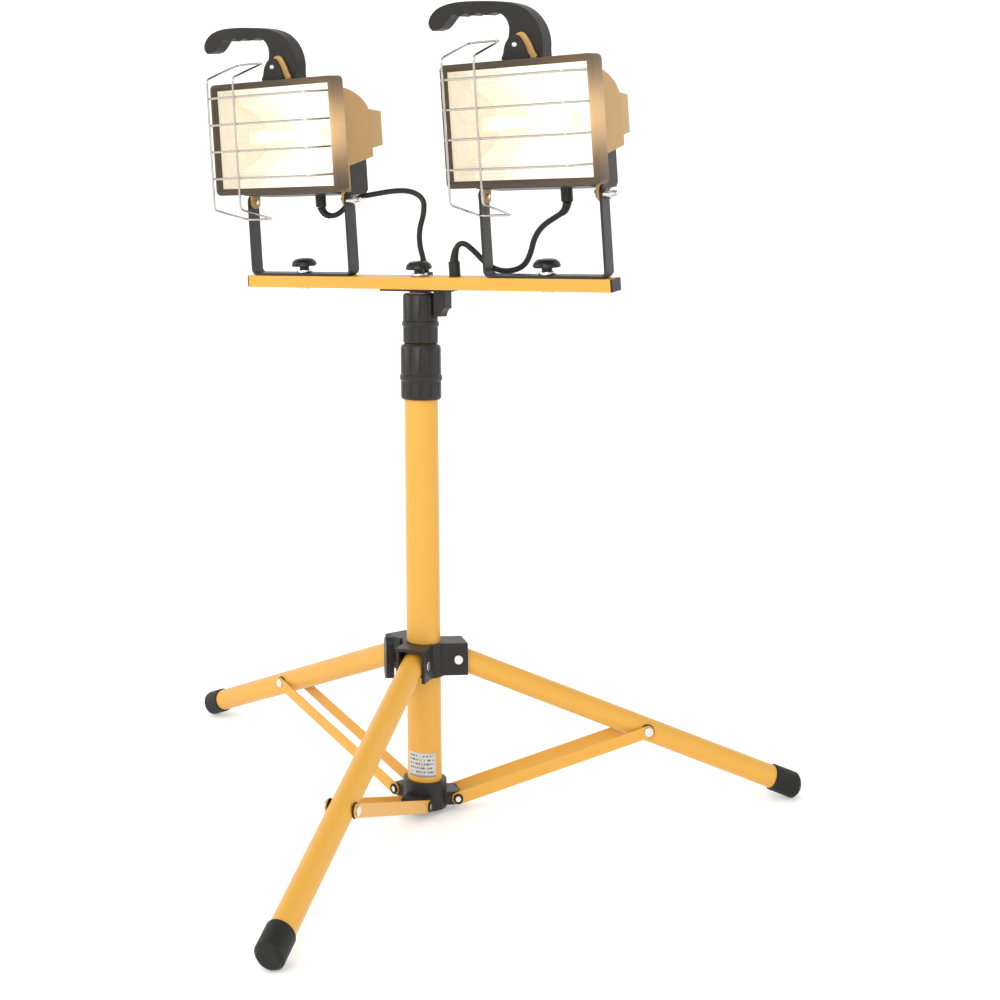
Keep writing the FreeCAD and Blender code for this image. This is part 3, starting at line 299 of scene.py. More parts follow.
LEAD_POINTS = {
    "lamp_lead_left": [
        (-0.136, 0.008, 0.096),
        (-0.1345, 0.0095, 0.0875),
        (-0.125, 0.014, 0.0835),
        (-0.114, 0.0175, 0.088),
        (-0.101, 0.0181, 0.101),
        (-0.095, 0.01829, 0.10306),
    ],
    "bar_lead_left": [
        (-0.0947, 0.0183, 0.10317),
        (-0.085, 0.0186, 0.1065),
        (-0.062, 0.019, 0.1095),
        (-0.037, 0.019, 0.1125),
        (-0.014, 0.0186, 0.1115),
        (0.002, 0.018, 0.102),
        (0.001, 0.0176, 0.085),
        (-0.0065, 0.0176, 0.067),
        (-0.0085, 0.0189, 0.048),
        (-0.005, 0.0203, 0.031),
        (-0.004, 0.0203, 0.016),
    ],
    "lamp_lead_right": [
        (0.186, 0.008, 0.096),
        (0.184, 0.0095, 0.087),
        (0.172, 0.014, 0.0805),
        (0.150, 0.019, 0.0695),
        (0.1446, 0.01876, 0.0629),
    ],
    "bar_lead_right": [
        (0.1444, 0.01874, 0.0626),
        (0.139, 0.0185, 0.056),
        (0.134, 0.0178, 0.039),
        (0.126, 0.0174, 0.025),
        (0.110, 0.017, 0.0185),
        (0.091, 0.0168, 0.0195),
        (0.077, 0.015, 0.029),
        (0.066, 0.0105, 0.0435),
        (0.056, 0.0055, 0.053),
        (0.047, 0.0032, 0.046),
        (0.045, 0.003, 0.031),
    ],
}
for side in ("left", "right"):
    for part, fixed, moving in (
        ("lamp_lead", f"yoke_{side}", f"lamp_{side}"),
        ("bar_lead", "crossbar", f"yoke_{side}"),
    ):
        node = f"{part}_{side}"
        line = spline_line(node, on_bar(LEAD_POINTS[node]))
        lead = tube_piece(
            f"{node}_flex", line, LEAD_DIAMETER / 2, flex_rubber, None
        )
        first, last = line[0], line[-1]
        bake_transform(lead)
        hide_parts(node)


# ------------------------------------------------- floor, backdrop and light
# A pale seamless floor that rises to a wall far behind, lit by a broad soft
# light in front, one on the left and the pale room itself.
def sweep_floor():
    """A disc whose height is zero out to 6 m and then rises as a quarter
    circle of 2 m and a 5 m wall."""
    reach = np.concatenate([[0.01, 2.0, 4.0, 6.0], 6.0 + 2 * np.sin(np.linspace(0.1, np.pi / 2, 10)), [8.0]])
    height = np.concatenate([np.zeros(4), 2 - 2 * np.cos(np.linspace(0.1, np.pi / 2, 10)), [7.0]])
    turn = np.linspace(0, 2 * np.pi, 97)[:-1]
    grid = np.stack(
        [
            reach[:, None] * np.cos(turn),
            reach[:, None] * np.sin(turn),
            np.broadcast_to(height[:, None], (len(reach), len(turn))),
        ],
        2,
    )
    return grid, grid_faces(len(reach), len(turn), close_columns=True)


backdrop_paper, paper_tree, paper_shader = node_tree("backdrop_paper")
paper_tone = add(paper_tree, "ShaderNodeTexNoise", {"Scale": 0.6, "Detail": 1.0})
paper_tree.links.new(
    mixed(paper_tree, paper_tone.outputs["Fac"], (0.93, 0.93, 0.93, 1), (0.96, 0.96, 0.955, 1)),
    paper_shader.inputs["Base Color"],
)
paper_shader.inputs["Roughness"].default_value = 0.9
paper_shader.inputs["Emission Color"].default_value = (1, 1, 1, 1)
paper_shader.inputs["Emission Strength"].default_value = 0.23
paper_shader.inputs["Specular IOR Level"].default_value = 0.1
floor_points, floor_faces = sweep_floor()
floor = new_piece("floor", floor_points, floor_faces, backdrop_paper, None)

room = bpy.data.worlds.new("room")
room.use_nodes = True
room.node_tree.nodes["Background"].inputs["Color"].default_value = (1.0, 1.0, 1.0, 1)
room.node_tree.nodes["Background"].inputs["Strength"].default_value = 0.78
bpy.context.scene.world = room
bpy.context.scene.view_settings.view_transform = "Standard"


def soft_light(name, place, target, size, power, colour=(1, 1, 1)):
    data = bpy.data.lights.new(name, "AREA")
    data.shape = "SQUARE"
    data.size = size
    data.energy = power
    data.color = colour
    lamp = bpy.data.objects.new(name, data)
    lamp.location = place
    lamp.rotation_euler = (Vector(target) - Vector(place)).to_track_quat("-Z", "Y").to_euler()
    bpy.context.scene.collection.objects.link(lamp)


soft_light("key", (0.6, -2.8, 1.9), (0, 0, 0.45), 1.6, 34)
soft_light("fill", (-2.6, -1.2, 1.6), (0, 0, 0.45), 1.4, 14)


# ------------------------------------------------------------- painted tubes
# Welded steel tube with a satin powder coat: the lower mast tube, the two that
# slide in it, and the three legs.  The coat has a faint orange peel.
def peel_effect():
    """Powder coat: a low wavy relief, and slow changes of shade and gloss."""
    group, start, end = effect(
        "powder_coat_peel",
        [("Waves per metre", "NodeSocketFloat", 420.0)],
        [("Height", "NodeSocketFloat"), ("Shade", "NodeSocketFloat"), ("Gloss", "NodeSocketFloat")],
    )
    place = add(group, "ShaderNodeTexCoord").outputs["Object"]
    waves = add(
        group,
        "ShaderNodeTexNoise",
        {"Vector": place, "Scale": start.outputs[0], "Detail": 2.0, "Roughness": 0.45},
    )
    slow = add(group, "ShaderNodeTexNoise", {"Vector": place, "Scale": 7.0, "Detail": 3.0})
    patches = add(group, "ShaderNodeTexNoise", {"Vector": place, "Scale": 55.0, "Detail": 4.0})
    group.links.new(waves.outputs["Fac"], end.inputs["Height"])
    group.links.new(slow.outputs["Fac"], end.inputs["Shade"])
    group.links.new(patches.outputs["Fac"], end.inputs["Gloss"])
    return group


powder_coat_peel = peel_effect()


def powder_coat(name, deep, light, rough=0.34, relief=0.12):
    """A satin powder coat between two near shades of one colour."""
    material, tree, shader = node_tree(name)
    peel = add(tree, "ShaderNodeGroup", node_tree=powder_coat_peel)
    shade = mixed(tree, peel.outputs["Shade"], (*deep, 1), (*light, 1))
    tree.links.new(shade, shader.inputs["Base Color"])
    gloss = add(
        tree,
        "ShaderNodeMapRange",
        {"Value": peel.outputs["Gloss"], "To Min": rough - 0.05, "To Max": rough + 0.07},
    )
    tree.links.new(gloss.outputs["Result"], shader.inputs["Roughness"])
    waves = add(
        tree,
        "ShaderNodeBump",
        {"Height": peel.outputs["Height"], "Strength": relief, "Distance": 0.0003},
    )
    tree.links.new(waves.outputs["Normal"], shader.inputs["Normal"])
    return material


tube_yellow = powder_coat("tube_yellow", (0.67, 0.335, 0.038), (0.72, 0.370, 0.046))


def finished(node, body, material, edge=0.0, smooth=35, steps=2):
    """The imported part's own surface, welded into whole faces, its sharp edges
    eased to a small round of the given size."""
    source = frame["nodes"][node].data
    points = np.empty(len(source.vertices) * 3)
    source.vertices.foreach_get("co", points)
    corners = np.empty(len(source.loops), np.int64)
    source.loops.foreach_get("vertex_index", corners)
    points = points.reshape(-1, 3)
    _, keep, joined = np.unique(
        np.round(points / 2e-6).astype(np.int64), axis=0, return_index=True, return_inverse=True
    )
    triangles = joined.ravel()[corners].reshape(-1, 3)
    whole = (
        (triangles[:, 0] != triangles[:, 1])
        & (triangles[:, 1] != triangles[:, 2])
        & (triangles[:, 2] != triangles[:, 0])
    )
    piece = new_piece(
        node + "_finished", points[keep], triangles[whole], material, body, smooth=smooth
    )
    if edge:
        work = bmesh.new()
        work.from_mesh(piece.data)
        bmesh.ops.dissolve_limit(
            work, angle_limit=math.radians(0.6), verts=work.verts, edges=work.edges
        )
        work.to_mesh(piece.data)
        work.free()
        piece.data.shade_smooth()
        bevel = piece.modifiers.new("eased_edges", "BEVEL")
        bevel.width = edge
        bevel.segments = steps
        bevel.limit_method = "ANGLE"
        bevel.angle_limit = math.radians(38)
        bevel.use_clamp_overlap = True
        bevel.harden_normals = True
    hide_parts(node)
    return piece


for node, body in (("mast_tube", "mast"), ("middle_tube", "middle_tube"), ("inner_tube", "mast_head")):
    finished(node, body, tube_yellow)
for leg in ("front", "right", "left"):
    finished(f"leg_{leg}", f"leg_{leg}", tube_yellow)

# ---------------------------------------------------------------- rubber feet
# A moulded black cap pushed on each leg, with a plain rolled mouth.
foot_rubber = moulded("foot_rubber", (0.0055, 0.0055, 0.0050), (0.0121, 0.0116, 0.0110), 0.55, 1800, 0.3)
for leg in ("front", "right", "left"):
    finished(f"foot_{leg}", f"leg_{leg}", foot_rubber, edge=0.0006)

# ------------------------------------------------------- castings on the mast
# Glass-filled nylon, black and faintly grained: the sliding collar and its
# clamp shoe, the foot hub, and the saddle on top of the mast.
casting_black = moulded("casting_black", (0.0132, 0.0121, 0.0105), (0.0220, 0.0204, 0.0182), 0.40, 1500, 0.35)
finished("collar_casting", "collar", casting_black, edge=0.0008)
finished("collar_clamp", "collar", casting_black, edge=0.0006)
finished("foot_hub", "mast", casting_black, edge=0.0010)
finished("head_bracket", "mast_head", casting_black, edge=0.0006)
finished("collar_knob", "collar_knob", casting_black, edge=0.0022, steps=4)

# ---------------------------------------------------------------- twist locks
# Two ribbed sleeves of black nylon that lock the sliding tubes when turned.
lock_black = moulded("lock_black", (0.0154, 0.0149, 0.0132), (0.0242, 0.0231, 0.0209), 0.36, 1200, 0.25)
finished("lower_twist_lock", "lower_lock", lock_black, edge=0.0004)
finished("upper_twist_lock", "upper_lock", lock_black, edge=0.0004)


# ---------------------------------------------------- bright pins and screws
# Zinc plated steel: the collar's pins, the clamp bolt, the brace rivets, the
# tilt bolts, the wing nuts and the bolts under the round knobs.
def brushed_effect():
    """Fine turning marks: noise stretched along one axis, as a height and as
    a change of gloss."""
    group, start, end = effect(
        "turning_marks",
        [("Marks per metre", "NodeSocketFloat", 900.0)],
        [("Height", "NodeSocketFloat"), ("Gloss", "NodeSocketFloat")],
    )
    place = add(group, "ShaderNodeTexCoord").outputs["Object"]
    drawn = add(group, "ShaderNodeMapping", {"Vector": place, "Scale": (1.0, 0.25, 1.0)})
    marks = add(
        group,
        "ShaderNodeTexNoise",
        {"Vector": drawn.outputs["Vector"], "Scale": start.outputs[0], "Detail": 3.0},
    )
    blots = add(group, "ShaderNodeTexNoise", {"Vector": place, "Scale": 160.0, "Detail": 2.0})
    group.links.new(marks.outputs["Fac"], end.inputs["Height"])
    group.links.new(blots.outputs["Fac"], end.inputs["Gloss"])
    return group


turning_marks = brushed_effect()


def bright_metal(name, colour, low, high, relief):
    """Bare or plated metal with uneven gloss."""
    material, tree, shader = node_tree(name)
    marks = add(tree, "ShaderNodeGroup", node_tree=turning_marks)
    darker = tuple(0.8 * c for c in colour)
    shade = mixed(tree, marks.outputs["Gloss"], (*darker, 1), (*colour, 1))
    tree.links.new(shade, shader.inputs["Base Color"])
    gloss = add(
        tree,
        "ShaderNodeMapRange",
        {"Value": marks.outputs["Gloss"], "To Min": low, "To Max": high},
    )
    tree.links.new(gloss.outputs["Result"], shader.inputs["Roughness"])
    bump = add(
        tree,
        "ShaderNodeBump",
        {"Height": marks.outputs["Height"], "Strength": relief, "Distance": 0.0001},
    )
    tree.links.new(bump.outputs["Normal"], shader.inputs["Normal"])
    shader.inputs["Metallic"].default_value = 1.0
    return material


zinc = bright_metal("zinc", (0.80, 0.79, 0.76), 0.18, 0.36, 0.3)
for node, body, edge in (
    ("leg_pivot_pins", "collar", 0.0006),
    ("collar_bolt", "collar_knob", 0.0003),
    ("yoke_bolts", "crossbar", 0.0005),
    ("tilt_bolts_left", "lamp_left", 0.0006),
    ("tilt_bolts_right", "lamp_right", 0.0006),
    ("wing_nut_left", "wing_nut_left", 0.0009),
    ("wing_nut_right", "wing_nut_right", 0.0009),
):
    finished(node, body, zinc, edge=edge)
for leg in ("front", "right", "left"):
    finished(f"brace_rivets_{leg}", f"brace_{leg}", zinc, edge=0.0007)

# --------------------------------------------------------------------- braces
# Two flat bars of steel strip beside each leg, with rounded ends, in the same
# powder coat as the tubes.
for leg in ("front", "right", "left"):
    finished(f"brace_bars_{leg}", f"brace_{leg}", tube_yellow, edge=0.0004)

# ------------------------------------------------------------------- crossbar
# A flat steel box section with eased corners, a black plug in each end and the
# two sockets that the leads go into.
finished("crossbar", "crossbar", tube_yellow, edge=0.0012, steps=3)
finished("crossbar_end_caps", "crossbar", casting_black, edge=0.0008)
finished("lead_sockets", "crossbar", casting_black, edge=0.0008)

# --------------------------------------------------------------- round knobs
# Dished black knobs with a fluted edge, one in the middle and one per yoke.
knob_black = moulded("knob_black", (0.0099, 0.0099, 0.0099), (0.0187, 0.0187, 0.0187), 0.30, 1400, 0.2)
finished("centre_knob", "centre_knob", knob_black, edge=0.0005)
finished("yoke_knob_left", "yoke_knob_left", knob_black, edge=0.0005)
finished("yoke_knob_right", "yoke_knob_right", knob_black, edge=0.0005)

# ---------------------------------------------------------------------- yokes
# Steel strap bent to a U and coated satin black.
strap_black = powder_coat("strap_black", (0.0121, 0.0105, 0.0088), (0.0176, 0.0154, 0.0132), 0.42, 0.2)
finished("yoke_left", "yoke_left", strap_black, edge=0.0005)
finished("yoke_right", "yoke_right", strap_black, edge=0.0005)

# ------------------------------------------------------------- lamp housings
# Die-cast shells in a duller yellow, with a cover for the wiring behind, and a black moulded terminal box
# under the slope of each.  The yellow is partly the paint's own duller tone and partly painted shade.
# Partly painted shade: this yellow is darker than the tubes' to stand in for the shade that falls on the
# shells.
housing_yellow = powder_coat("housing_yellow", (0.44, 0.25, 0.070), (0.50, 0.29, 0.085), 0.42, 0.25)
for side in ("left", "right"):
    finished(f"lamp_housing_{side}", f"lamp_{side}", housing_yellow, edge=0.0014, steps=3)
    finished(f"terminal_box_{side}", f"lamp_{side}", casting_black, edge=0.0012, steps=3)


# -------------------------------------------------------------------- bezels
# A die-cast frame round the glass, coated satin black, with a rounded outer edge and a step down to the
# glass.  The lamp's light spilling over it is painted on as a warm glow, faint everywhere and strongest near
# the right inner edge.
BEZEL_HALF_WIDTH = 0.090
BEZEL_LOW, BEZEL_HIGH = 0.012, 0.148


def framed(profile, half_width, low, high, corner):
    """A profile of (inset, depth) carried round a rectangle whose corners are
    arcs of radius corner less inset, so every ring stays parallel."""
    inset, depth = np.asarray(profile, float).T[:, :, None]
    quarter = np.linspace(0, np.pi / 2, 7)
    turn = np.concatenate([quarter + k * np.pi / 2 for k in range(4)])
    sign_x = np.repeat([1, -1, -1, 1], 7)
    sign_z = np.repeat([1, 1, -1, -1], 7)
    radius = np.maximum(corner - inset, 0.0002)
    x = sign_x * (half_width - inset - radius) + radius * np.cos(turn)
    z = sign_z * ((high - low) / 2 - inset - radius) + radius * np.sin(turn)
    return np.stack([x, np.broadcast_to(depth, x.shape), z + (high + low) / 2], 2)


def spill(points, centre, reach):
    """How much painted lamp light each point gets: a bell curve of its distance."""
    away = np.linalg.norm(np.asarray(points).reshape(-1, 3) - np.asarray(centre), axis=1)
    return np.exp(-((away / reach) ** 2))


def set_glow(piece, values):
    layer = piece.data.attributes.new("lamp_light", "FLOAT", "POINT")
    layer.data.foreach_set("value", np.asarray(values, np.float32))


def lit_by_lamp(material, colour, strength):
    """Adds the painted warm spill that is stored on the piece to its shader, as emission."""
    tree = material.node_tree
    shader = tree.nodes["Principled BSDF"]
    light = add(tree, "ShaderNodeAttribute", attribute_name="lamp_light")
    warm = mixed(tree, light.outputs["Fac"], (0, 0, 0, 1), (*colour, 1))
    tree.links.new(warm, shader.inputs["Emission Color"])
    shader.inputs["Emission Strength"].default_value = strength
    return material


# The bezel's warm glow is painted lamp light, given as emission.
bezel_black = lit_by_lamp(
    moulded("bezel_black", (0.026, 0.021, 0.016), (0.042, 0.034, 0.026), 0.34, 1300, 0.2),
    (1.0, 0.62, 0.27),
    0.9,
)
BEZEL_PROFILE = [
    (0.0, -0.0265),
    (0.0, -0.0484),
    (0.0004, -0.0494),
    (0.0014, -0.0500),
    (0.0046, -0.0500),
    (0.0053, -0.0495),
    (0.0057, -0.0480),
    (0.0074, -0.0474),
    (0.0080, -0.0468),
    (0.0080, -0.0461),
    (0.0026, -0.0461),
    (0.0026, -0.0265),
]
for side in ("left", "right"):
    ring = framed(BEZEL_PROFILE, BEZEL_HALF_WIDTH, BEZEL_LOW, BEZEL_HIGH, 0.006)
    rows, columns = ring.shape[:2]
    # The long sides are divided so the painted spill can fade along them.
    share = np.linspace(0, 1, 13)[:-1]
    after = np.roll(ring, -1, axis=1)
    fine = (ring[:, :, None] * (1 - share[:, None]) + after[:, :, None] * share[:, None]).reshape(
        rows, -1, 3
    )
    faces = grid_faces(rows, fine.shape[1], close_rows=True, close_columns=True)
    bezel = turned_outward(
        new_piece(
            f"bezel_frame_{side}",
            on_lamp(side, fine.reshape(-1, 3)),
            faces,
            bezel_black,
            f"lamp_{side}",
            smooth=50,
        )
    )
    # Painted glow: faint warm emission everywhere, strongest near the right inner edge.
    set_glow(bezel, np.clip(0.05 + 1.1 * spill(fine, (0.072, -0.045, 0.086), 0.038), 0, 1))
    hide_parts(f"bezel_{side}")

# ---------------------------------------------------------------- reflectors
# Bright aluminium sheet, ribbed along its length: a deep trough with a flat wall at each end and a sloping
# flange out to the glass.  Its glare is painted on as emission, in ribbed bands that grow towards the far
# end.
REFLECTOR_MIDDLE = 0.0808


def trough_depth(rise):
    """Depth at a rise of 0 to 1 from the middle to the rim: a parabola for
    the first 0.68 and a straight flange after it."""
    bowl = np.clip(rise / 0.68, 0, 1)
    flange = np.clip((rise - 0.68) / 0.32, 0, 1)
    return 0.030 - 0.0575 * bowl**2 - 0.0138 * flange


def trough_height(rise):
    bowl = np.clip(rise / 0.68, 0, 1)
    flange = np.clip((rise - 0.68) / 0.32, 0, 1)
    return 0.0415 * bowl + 0.0235 * flange


def trough_reach(depth):
    """Half the trough's length at a depth: wide at the glass, less behind."""
    return np.interp(depth, [-0.0415, -0.0275, 0.030], [0.0838, 0.0700, 0.0585])


def ribbed_trough():
    """The trough with 44 shallow ribs: its depth plus a sine of the rise."""
    rise = np.linspace(-1, 1, 265)
    across = np.linspace(-1, 1, 49)
    depth = trough_depth(np.abs(rise))
    ribs = 0.00035 * np.sin(rise * 44 * np.pi) * (np.abs(rise) < 0.66)
    height = REFLECTOR_MIDDLE + np.sign(rise) * trough_height(np.abs(rise))
    x = across[None, :] * trough_reach(depth)[:, None]
    y = np.broadcast_to((depth + ribs)[:, None], x.shape)
    z = np.broadcast_to(height[:, None], x.shape)
    return np.stack([x, y, z], 2)


def end_wall(sign):
    """The flat wall that closes one end: at each depth, the heights between
    the trough's two edges."""
    rise = np.linspace(0.0, 1, 60)
    up = np.linspace(-1, 1, 31)
    depth = trough_depth(rise)
    x = np.broadcast_to((sign * trough_reach(depth))[:, None], (60, 31))
    y = np.broadcast_to(depth[:, None], x.shape)
    z = REFLECTOR_MIDDLE + up[None, :] * trough_height(rise)[:, None]
    return np.stack([x, y, z], 2)


def glaring_sheet():
    """Bright sheet with a painted glare: warm emission, broken by blots, that is ribbed and grows towards the
    far end.
    """
    material, tree, shader = node_tree("glaring_sheet")
    marks = add(tree, "ShaderNodeGroup", node_tree=turning_marks)
    light = add(tree, "ShaderNodeAttribute", attribute_name="lamp_light")
    # Painted glare: the stored lamp light sets the emission's colour, and blots of the turning marks break it
    # up.
    glare_colour = mixed(tree, light.outputs["Fac"], (0.74, 0.60, 0.40, 1), (1.25, 1.2, 1.1, 1))
    glare_blots = mixed(tree, marks.outputs["Gloss"], (0.80, 0.70, 0.56, 1), (1, 1, 1, 1))
    product = tree.nodes.new("ShaderNodeMix")
    product.data_type = "RGBA"
    product.blend_type = "MULTIPLY"
    product.inputs[0].default_value = 0.55
    tree.links.new(glare_colour, product.inputs[6])
    tree.links.new(glare_blots, product.inputs[7])
    tree.links.new(product.outputs[2], shader.inputs["Emission Color"])
    shader.inputs["Emission Strength"].default_value = 0.95
    shader.inputs["Base Color"].default_value = (0.26, 0.24, 0.20, 1)
    shader.inputs["Metallic"].default_value = 0.6
    shader.inputs["Roughness"].default_value = 0.35
    return material


glare_metal = glaring_sheet()
for side in ("left", "right"):
    surfaces = [ribbed_trough(), end_wall(-1), end_wall(1)]
    points = np.concatenate([s.reshape(-1, 3) for s in surfaces])
    faces, first = [], 0
    for surface, flip in zip(surfaces, (False, True, False)):
        quads = grid_faces(*surface.shape[:2]) + first
        faces.append(quads[:, ::-1] if flip else quads)
        first += surface.shape[0] * surface.shape[1]
    faces = np.concatenate(faces)
    reflector = new_piece(
        f"reflector_sheet_{side}",
        on_lamp(side, points),
        faces,
        glare_metal,
        f"lamp_{side}",
        smooth=30,
    )
    # Painted glare stored as lamp light: dim on the end wall at negative x, banded along the ribs, and full
    # towards the far end.
    near_far_end = np.clip((points[:, 0] + 0.030) / 0.050, 0, 1)
    wall_shade = np.where(points[:, 0] < -0.060, 0.25, 0.55)
    ribs_shade = 0.80 + 0.20 * np.sin((points[:, 2] - REFLECTOR_MIDDLE) * 1650)
    set_glow(reflector, np.clip(wall_shade * ribs_shade + near_far_end, 0, 1))
    sheet = reflector.modifiers.new("sheet", "SOLIDIFY")
    sheet.thickness = 0.0006
    sheet.offset = 0.0
    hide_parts(f"reflector_{side}")

# ------------------------------------------------- halogen lamp and holders
# A double-ended quartz tube with pinched, ceramic-capped ends, held between two ceramic holders.  The
# holders' glow is painted lamp light, given as emission.
def turned_piece(name, profile, origin, axis, material, body, sides=36, ring=False):
    """A (radius, height) profile turned about an axis through the origin:
    origin plus height times axis plus radius times a unit vector square to it."""
    axis = np.asarray(axis, float) / np.linalg.norm(axis)
    other = np.array([0.0, 0.0, 1.0]) if abs(axis[2]) < 0.9 else np.array([1.0, 0.0, 0.0])
    n = np.cross(axis, other)
    n /= np.linalg.norm(n)
    b = np.cross(axis, n)
    radius, height = np.asarray(profile, float).T
    turn = np.arange(sides) * 2 * np.pi / sides
    spoke = np.cos(turn)[:, None] * n + np.sin(turn)[:, None] * b
    grid = (
        np.asarray(origin, float)
        + height[:, None, None] * axis
        + radius[:, None, None] * spoke[None]
    )
    faces = grid_faces(len(radius), sides, close_rows=ring, close_columns=True)
    piece = new_piece(name, grid, faces, material, body)
    work = bmesh.new()
    work.from_mesh(piece.data)
    bmesh.ops.remove_doubles(work, verts=work.verts, dist=1e-7)
    bmesh.ops.recalc_face_normals(work, faces=work.faces)
    work.to_mesh(piece.data)
    work.free()
    piece.data.shade_smooth()
    piece.data.set_sharp_from_angle(angle=math.radians(40))
    return piece


lit_quartz, quartz_tree, quartz_shader = node_tree("lit_quartz")
quartz_cloud = add(quartz_tree, "ShaderNodeTexNoise", {"Scale": 90.0, "Detail": 2.0})
quartz_tree.links.new(
    mixed(quartz_tree, quartz_cloud.outputs["Fac"], (1.0, 0.90, 0.72, 1), (1.0, 0.97, 0.90, 1)),
    quartz_shader.inputs["Emission Color"],
)
quartz_shader.inputs["Emission Strength"].default_value = 2.2
quartz_shader.inputs["Roughness"].default_value = 0.08
ceramic, ceramic_tree, ceramic_shader = node_tree("ceramic")
ceramic_cloud = add(ceramic_tree, "ShaderNodeTexNoise", {"Scale": 220.0, "Detail": 3.0})
ceramic_tree.links.new(
    mixed(ceramic_tree, ceramic_cloud.outputs["Fac"], (0.72, 0.62, 0.46, 1), (0.86, 0.78, 0.64, 1)),
    ceramic_shader.inputs["Base Color"],
)
# Painted glow: the holders' emission stands in for the lamp's light falling on them.
ceramic_tree.links.new(
    mixed(ceramic_tree, ceramic_cloud.outputs["Fac"], (0.62, 0.47, 0.28, 1), (0.74, 0.60, 0.40, 1)),
    ceramic_shader.inputs["Emission Color"],
)
ceramic_shader.inputs["Emission Strength"].default_value = 1.0
ceramic_shader.inputs["Roughness"].default_value = 0.5
TUBE_PROFILE = [
    (0.0, -0.0458),
    (0.0036, -0.0458),
    (0.0042, -0.0452),
    (0.0042, -0.0400),
    (0.0026, -0.0394),
    (0.0028, -0.0362),
    (0.0046, -0.0335),
    (0.0050, -0.0310),
    (0.0050, 0.0310),
    (0.0046, 0.0335),
    (0.0028, 0.0362),
    (0.0026, 0.0394),
    (0.0042, 0.0400),
    (0.0042, 0.0452),
    (0.0036, 0.0458),
    (0.0, 0.0458),
]
for side in ("left", "right"):
    low, high = (np.array(corner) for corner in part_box(f"halogen_tube_{side}"))
    tube = turned_piece(
        f"quartz_tube_{side}",
        TUBE_PROFILE,
        (low + high) / 2,
        (1, 0, 0),
        lit_quartz,
        f"lamp_{side}",
    )
    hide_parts(f"halogen_tube_{side}")
    finished(f"lamp_holders_{side}", f"lamp_{side}", ceramic, edge=0.0010, steps=3)

# --------------------------------------------------------------- front glass
# A pane of clear toughened glass with a faint wave in it.
clear_glass, glass_tree, glass_shader = node_tree("clear_glass")
glass_shader.inputs["Transmission Weight"].default_value = 1.0
glass_shader.inputs["Roughness"].default_value = 0.015
glass_shader.inputs["IOR"].default_value = 1.46
glass_shader.inputs["Base Color"].default_value = (0.97, 0.98, 0.97, 1)
glass_place = add(glass_tree, "ShaderNodeTexCoord").outputs["Object"]
glass_wave = add(glass_tree, "ShaderNodeTexNoise", {"Vector": glass_place, "Scale": 60.0, "Detail": 1.0})
glass_bump = add(
    glass_tree,
    "ShaderNodeBump",
    {"Height": glass_wave.outputs["Fac"], "Strength": 0.05, "Distance": 0.0004},
)
glass_tree.links.new(glass_bump.outputs["Normal"], glass_shader.inputs["Normal"])
for side in ("left", "right"):
    finished(f"glass_{side}", f"lamp_{side}", clear_glass)

# --------------------------------------------------------------- wire guards
# Bright chromed steel wire, welded where the long hoop crosses the four bars.
chrome = bright_metal("chrome", (0.60, 0.56, 0.51), 0.06, 0.16, 0.05)
for side in ("left", "right"):
    finished(f"wire_guard_{side}", f"lamp_{side}", chrome)


# ----------------------------------------------------------- carrying handles
# A hooked grip of grained black nylon with finger rests.  A yellow tongue of
# the housing and a black ear stand before its foot, held by one bright rivet.
def smooth_outline(points, steps=8):
    """A closed loop through the points: between each two, a cubic whose slopes
    are half the step from the point before to the point after."""
    points = np.asarray(points, float)
    before, after, beyond = (np.roll(points, k, axis=0) for k in (1, -1, -2))
    t = (np.arange(steps) / steps)[None, :, None]
    start, end = points[:, None], after[:, None]
    rise = (after - before)[:, None] / 2
    fall = (beyond - points)[:, None] / 2
    cubic = (
        (2 * t**3 - 3 * t**2 + 1) * start
        + (t**3 - 2 * t**2 + t) * rise
        + (3 * t**2 - 2 * t**3) * end
        + (t**3 - t**2) * fall
    )
    return cubic.reshape(-1, 2)


def rounded_slab(outline, front, back, round_off, arc=6):
    """A closed outline in x and z given a thickness in y.  Near each face the
    outline moves in by r (1 - cos a) while the depth falls by r (1 - sin a)."""
    outline = np.asarray(outline, float)
    along = np.roll(outline, -1, axis=0) - np.roll(outline, 1, axis=0)
    along /= np.linalg.norm(along, axis=1)[:, None] + 1e-12
    area = np.sum(outline[:, 0] * np.roll(outline[:, 1], -1) - outline[:, 1] * np.roll(outline[:, 0], -1))
    inward = np.stack([-along[:, 1], along[:, 0]], 1) * np.sign(area)
    turn = np.linspace(0, np.pi / 2, arc)
    inset = round_off * (1 - np.sin(turn))
    depth = round_off * (1 - np.cos(turn))
    inset = np.concatenate([inset, inset[::-1]])
    y = np.concatenate([front + depth, back - depth[::-1]])
    rings = outline[None] + inset[:, None, None] * inward[None]
    grid = np.stack(
        [rings[:, :, 0], np.broadcast_to(y[:, None], rings.shape[:2]), rings[:, :, 1]], 2
    )
    rows, columns = grid.shape[:2]
    faces = [list(face) for face in grid_faces(rows, columns, close_columns=True)]
    faces.append(list(range(columns)))
    faces.append([(rows - 1) * columns + i for i in range(columns)][::-1])
    return grid.reshape(-1, 3), faces


